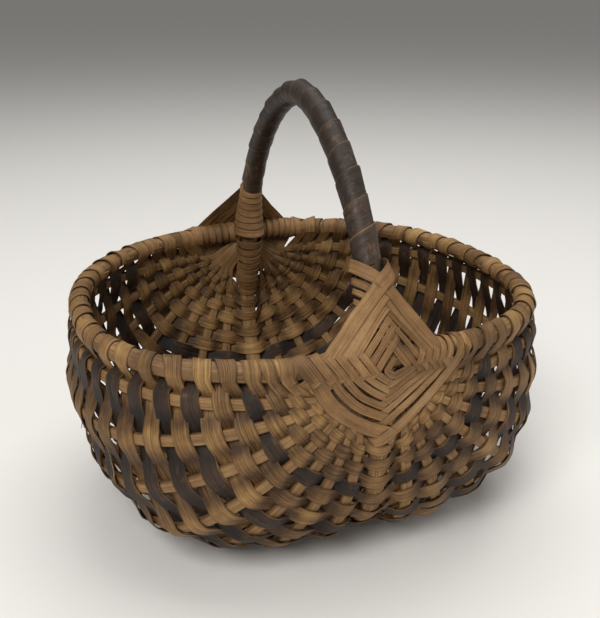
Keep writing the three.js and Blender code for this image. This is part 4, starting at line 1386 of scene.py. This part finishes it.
@dataclass
class EarLashing(Maker):
    """The four-pointed binding of one ear, wound from arm to arm with a loop behind each arm."""

    ONTO_ARM = (0, 22, 45, 67)
    BEHIND_ARM = range(90, 271, 30)
    OFF_ARM = (-67, -45, -22, 0)
    BETWEEN_ARMS = (0.22, 0.36, 0.5, 0.64, 0.78)

    slot: str = "ear_lashing_splint"
    unevenness: float = 0.2
    ear: str = "front"
    holds: tuple[Hold, Hold, Hold, Hold] = FRONT_HOLDS
    seed: int = Seed.FRONT_LASHING
    rounds: int = 7
    open_rounds: int = 1
    inner_share: float = 0.93
    end_turns: int = 1
    end_pitch: float = 3.2
    last_arm_slack: float = 1.0
    other_slack: float = 0.3
    offset: tuple[float, float] = (3.0, -3.5)
    helix: float = 1.0
    half_thickness: float = 0.4
    clearance: float = 0.4
    crossing_rise: float = 0.5
    tilt: float = 0.25
    sag: float = 3.0
    slope_length: float = 30.0
    direction_span: float = 12.0
    late_widening: int = 8
    sideways_swing: float = 0.35
    roll_swing: float = 0.04
    width_swing: float = 0.06
    tone_swing: float = 0.05
    bulges: tuple[float, ...] = (0.0, 8.0, 5.0, 0.0)
    spacing: float = 1.3
    stiffness: float = 0.9

    def _arms(self) -> list[Arm]:
        """Returns the four arms in the order of winding: top, left, bottom and right."""
        plan = self.plan
        tracks = (plan.handle, plan.rims[-1], plan.keel, plan.rims[1])
        onward = (-ACROSS, -UP, ACROSS, UP)
        rods = 2 * (plan.sizes.hoop_rod_radius, plan.sizes.rim_rod_radius)
        return [Arm(*parts) for parts in
                zip(self.holds, tracks, onward, rods, (1.0, 0.0, 1.0, 0.0), self.bulges)]

    def _share_out(self, visit: int) -> float:
        """Returns how far out a visit's round is, from 0 for the first to 1 for the last."""
        return (visit // 4) / (self.rounds - 1)

    def _distance(self, arm: Arm, visit: int) -> float:
        """Returns where a visit's strip crosses the middle of an arm."""
        share = self._share_out(visit)
        if visit % 4 == 3:
            share = (visit // 4 + 0.5) / (self.rounds - 0.5)
        return mix(arm.hold.first, arm.hold.last, share if share == 1.0 else self.inner_share * share)

    def _wide(self, arm: Arm, visit: int) -> float:
        """Returns half the strip's width on its way from an arm to the next."""
        share = self._share_out(visit + 1) ** self.late_widening
        return mix(arm.hold.half_width, arm.hold.last_half_width, share)

    def _beside(self, arm: Arm, distance: float, degrees: float, rise: float, wide: float) -> Station:
        """Returns the strip's place at an angle round an arm, from its front onwards."""
        sizes, hold = self.plan.sizes, arm.hold
        sine, cosine = math.sin(math.radians(degrees)), math.cos(math.radians(degrees))
        direction = arm.track.direction(distance, self.direction_span)
        forward = square_to(FRONT, direction)
        radial = forward * cosine + square_to(arm.onward, direction) * sine
        in_front = max(0.0, cosine)
        slope = max(0.0, 1 - (distance - sizes.rim_rod_radius) / self.slope_length)
        behind = 2 * sizes.rim_rod_radius + sizes.seat_gap
        share_out = (distance - hold.first) / (hold.last - hold.first)
        pile = mix(hold.first_pile, hold.last_pile, min(1.0, max(0.0, share_out)))
        step = max(0.0, arm.set_back * behind * slope * in_front - pile)
        away = arm.rod + self.clearance + self.half_thickness + rise + pile
        slip = np.array([self.offset[0], 0.0, self.offset[1]]) * in_front
        point = arm.track.at(distance) + radial * away + forward * step + slip
        facing = radial * math.cos(self.tilt) + direction * math.sin(self.tilt)
        return Station(point, facing, wide)

    def _chord(self, start: Station, end: Station, share_out: float, arm: Arm,
               loose: float) -> list[Station]:
        """Carries the strip from one arm to the next.

        Args:
            start: Its place on the arm that it leaves.
            end: Its place on the next arm.
            share_out: How far out the round is, from 0 for the first to 1 for the last.
            arm: The arm that it leaves.
            loose: How far its middle stands out because it wasn't pulled tight.

        Returns:
            The places between the two.
        """
        middle = (start.point + end.point) / 2
        ear_height = self.plan.rim_height + self.plan.sizes.rim_dip
        across = unit(np.array([middle[0], 0.0, middle[2] - ear_height]))
        stations = []
        for share in self.BETWEEN_ARMS:
            swing = math.sin(math.pi * share)
            shift = across * ((arm.bulge * share_out**2 + loose) * swing)
            if arm.bulge:
                shift = shift - FRONT * (self.sag * share_out * swing)
            point = mix(start.point, end.point, share) + shift
            facing = mix(start.facing, end.facing, share)
            stations.append(Station(point, facing, start.half_width))
        return stations

    def _stations(self) -> list[Station]:
        """Returns the whole strand from the middle of the eye outwards."""
        arms = self._arms()
        rng = np.random.default_rng(Seed.LASHING_SLACK)
        stations = []
        last_visit = 4 * self.rounds - 1
        for visit in range(last_visit + 1):
            arm, before, after = (arms[(visit + step) % 4] for step in (0, -1, 1))
            here, reached = self._distance(arm, visit), self._distance(after, visit + 1)
            came_from = max(0, visit - 1)
            steep_in = here / self._distance(before, came_from)
            steep_out = here / reached
            radius = arm.rod + self.half_thickness
            wide_in, wide_out = self._wide(before, came_from), self._wide(arm, visit)
            over = [self._beside(arm, here + radius * steep_in * math.sin(math.radians(degrees)),
                                 degrees, 0.0, wide_in) for degrees in self.ONTO_ARM]
            off = [self._beside(arm, here - radius * steep_out * math.sin(math.radians(degrees)),
                                degrees, self.crossing_rise, wide_out)
                   for degrees in self.OFF_ARM]
            if visit < 4 * self.open_rounds:
                stations.append(over[0])
                leaving = over[0]
            else:
                stations += over
                for degrees in self.BEHIND_ARM:
                    share = smooth((degrees - 90) / 180)
                    distance = here + self.helix * radius * mix(steep_in, steep_out, share)
                    wide = mix(wide_in, wide_out, share)
                    stations.append(self._beside(arm, distance, degrees, 0.0, wide))
                if visit == last_visit:
                    return stations + self._end_loops(arm, distance)
                stations += off
                leaving = off[-1]
            arriving = self._beside(after, reached, 0.0, 0.0, wide_out)
            slack = self.last_arm_slack if arm is arms[3] else self.other_slack
            loose = rng.uniform(-1.0, 1.0) * slack
            stations += self._chord(leaving, arriving, self._share_out(visit), arm, loose)
        return stations

    def _end_loops(self, arm: Arm, distance: float) -> list[Station]:
        """Returns the narrow loops round the last arm that finish the lashing."""
        return [self._beside(arm, distance + self.end_pitch * (degrees - 270) / 360, degrees, 0.0,
                             arm.hold.half_width)
                for degrees in range(300, 271 + 360 * self.end_turns, 30)]

    def make(self) -> None:
        """Makes the lashing."""
        stock = bend_stock(self._stations(), self.half_thickness, self.spacing, self.stiffness,
                           self.seed)
        along = stock.along()

        def wave(order: int, length: float) -> np.ndarray:
            """Returns one of the strip's own slow waves, by its number and its length."""
            return wander(self.seed + order, along, length)

        stock.centre = stock.centre + stock.across() * (self.sideways_swing * wave(0, 60))[:, None]
        stock.facing = turn_about(stock.facing, stock.tangent(), self.roll_swing * wave(2, 50))
        stock.half_width = stock.half_width * (1 + self.width_swing * wave(4, 55))
        stock.tone = self.tone_swing * wave(6, 210)
        stock.split = split_depths(self.seed + 8, along, 90, 0.12, 0.5)
        if self.ear == "rear":
            turned = np.array([1.0, -1.0, 1.0])
            stock.centre, stock.facing = stock.centre * turned, stock.facing * turned
        self.add(f"{self.ear}_ear_binding", f"{self.ear}_ear_lashing", [stock])


@dataclass
class HandleWrap(Maker):
    """The wide dark binding of the handle, each turn laid over the one above it.

    Its ends run on under the lashings, while the wrap of the solids stops beside them.
    """

    slot: str = "handle_wrap_splint"
    unevenness: float = 0.35
    unevenness_length: float = 8.0
    overlap: float = 3.0
    half_thickness: float = 0.45
    proud: float = 1.15
    tucked: float = 0.15
    steps_per_turn: int = 36
    end_length: float = 9.0
    hidden_length: float = 19.0
    clearance: float = 0.3
    pitch_swing: float = 0.35
    lift_swing: float = 0.3
    tone_swing: float = 0.06
    paler_end: float = 0.1

    def make(self) -> None:
        """Makes the wrap."""
        plan, sizes = self.plan, self.plan.sizes
        handle = plan.handle
        start = sizes.front_reach.top - self.hidden_length
        end = handle.length - sizes.rear_reach.top + self.hidden_length
        turn_count = sizes.wrap_turns + 2
        pitch = (end - start) / (turn_count + 1)
        count = turn_count * self.steps_per_turn + 1
        turns = np.arange(count) / self.steps_per_turn
        from_tip = np.minimum(1.0, np.minimum(turns, turns[-1] - turns))
        uneven = self.pitch_swing * wander(Seed.WRAP_WAVES, turns, 1.7) * from_tip
        angle = 2 * math.pi * turns
        distance = start + pitch * (turns + 0.5) + uneven
        direction = handle.direction(distance, pitch / 3)
        outward = unit(np.cross(ACROSS, direction))
        radial = outward * np.cos(angle)[:, None] + ACROSS * np.sin(angle)[:, None]
        half = (pitch + self.overlap) / 2
        from_end = np.minimum(distance - start, end - distance) / self.end_length
        settle = smooth(from_end - 1.3)
        unevenly = 1 + self.lift_swing * wander(Seed.WRAP_WAVES + 1, turns, 2.3)
        lift = (self.proud - self.tucked) / 2 * settle * unevenly
        away = sizes.hoop_rod_radius + self.clearance + self.half_thickness + self.tucked + lift
        lean = lift / half
        stock = Stock(handle.at(distance) + radial * away[:, None], radial,
                      np.full(count, half), np.full(count, self.half_thickness), Seed.WRAP,
                      dark_face=1.0)
        stock.facing = unit(radial - direction * lean[:, None])
        stock.width_line = unit(direction + radial * lean[:, None])
        uneven_tone = self.tone_swing * wander(Seed.WRAP_WAVES + 2, turns, 1.3)
        stock.tone = uneven_tone - self.paler_end * np.sin(math.pi * turns / turns[-1])
        stock.split = split_depths(Seed.WRAP_WAVES + 3, turns, 1.9, 0.0, 0.5)
        self.add("wound_handle_binding", "handle_wrap", [stock])


# Studio


class Lamp(NamedTuple):
    """A square area light: its name, place and size in metres, and its power in watts."""

    name: str
    place: tuple[float, float, float]
    size: float
    power: float


@dataclass
class Studio:
    """A pale floor, soft lights and the camera."""

    rim_height: float
    azimuth: float = math.radians(-20.42)
    elevation: float = math.radians(20.09)
    distance: float = 657.0
    target: tuple[float, float] = (0.54, 3.24)
    focal_pixels: float = 850.0
    picture_height: float = 618.0
    sensor: float = 36.0
    shift: float = -25.33
    floor_shade: str = "EBE8E3"
    floor_reach: float = 30.0
    room_light: float = 0.24
    lit_height: float = 0.14
    lamps: tuple[Lamp, ...] = (Lamp("key_light", (-1.15, -1.25, 1.75), 1.0, 36.0),
                               Lamp("top_light", (0.25, 0.35, 1.9), 1.6, 22.0),
                               Lamp("fill_light", (1.9, -1.0, 0.9), 1.6, 9.0))

    def make(self) -> None:
        """Makes the floor, the lights, the world and the camera."""
        self._make_floor()
        for lamp in self.lamps:
            self._make_light(lamp)
        self._make_world()
        self._make_camera()

    def _make_floor(self) -> None:
        """Makes a wide plain floor, which darkens away from the lights."""
        reach = self.floor_reach
        mesh = bpy.data.meshes.new("pale_floor")
        corners = [(-reach, -reach, 0), (reach, -reach, 0), (reach, reach, 0), (-reach, reach, 0)]
        mesh.from_pydata(corners, [], [(0, 1, 2, 3)])
        material = bpy.data.materials.new("pale_painted_floor")
        material.use_nodes = True
        shader = material.node_tree.nodes["Principled BSDF"]
        shader.inputs["Base Color"].default_value = from_hex(self.floor_shade)
        shader.inputs["Roughness"].default_value = 0.9
        mesh.materials.append(material)
        floor = add_object("pale_floor", mesh)

    def _make_light(self, lamp: Lamp) -> None:
        """Makes a light that looks at the basket."""
        light = bpy.data.lights.new(lamp.name, "AREA")
        light.size = lamp.size
        light.energy = lamp.power
        made = add_object(lamp.name, light)
        made.location = lamp.place
        sight = Vector((0, 0, self.lit_height)) - Vector(lamp.place)
        made.rotation_euler = sight.to_track_quat("-Z", "Y").to_euler()

    def _make_world(self) -> None:
        """Makes an even, weak light from all round."""
        world = bpy.data.worlds.new("soft_room")
        world.use_nodes = True
        background = world.node_tree.nodes["Background"]
        background.inputs["Color"].default_value = from_hex("F4F4F2")
        background.inputs["Strength"].default_value = self.room_light
        bpy.context.scene.world = world

    def _make_camera(self) -> None:
        """Makes the camera at the photograph's place."""
        scene = bpy.context.scene
        camera = bpy.data.cameras.new("camera")
        camera.sensor_width = self.sensor
        camera.lens = self.focal_pixels * self.sensor / self.picture_height
        camera.shift_y = self.shift / self.picture_height
        camera.clip_start = 0.01
        camera.clip_end = 50.0
        back = Vector((math.sin(self.azimuth) * math.cos(self.elevation),
                       -math.cos(self.azimuth) * math.cos(self.elevation),
                       math.sin(self.elevation)))
        target = Vector((*self.target, self.rim_height))
        made = add_object("camera", camera)
        made.location = (target + back * self.distance) * MM
        made.rotation_euler = (-back).to_track_quat("-Z", "Y").to_euler()
        scene.camera = made
        scene.view_settings.view_transform = "Standard"


def main() -> None:
    """Builds the basket in order, then the studio."""
    logging.basicConfig(level=logging.INFO, format="%(message)s")
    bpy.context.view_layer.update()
    low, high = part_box("rim_hoop")
    sizes = Sizes()
    plan = Plan(sizes, (low.z + high.z) / 2 / MM)
    bender = Bender()
    lashing = LASHING.build()
    makers = (Hoops(plan, bender, HOOP.build()), Ribs(plan, bender, RIB.build()),
              Splints(plan, bender, WOVEN.build()), EarLashing(plan, bender, lashing),
              EarLashing(plan, bender, lashing, ear="rear", holds=REAR_HOLDS, seed=Seed.REAR_LASHING,
                         open_rounds=0, inner_share=1.0, offset=(0.0, 0.0), helix=0.3),
              HandleWrap(plan, bender, WRAP.build()))
    for maker in makers:
        maker.make()
    bender.clear()
    Studio(plan.rim_height).make()


if __name__ == "__main__":
    main()
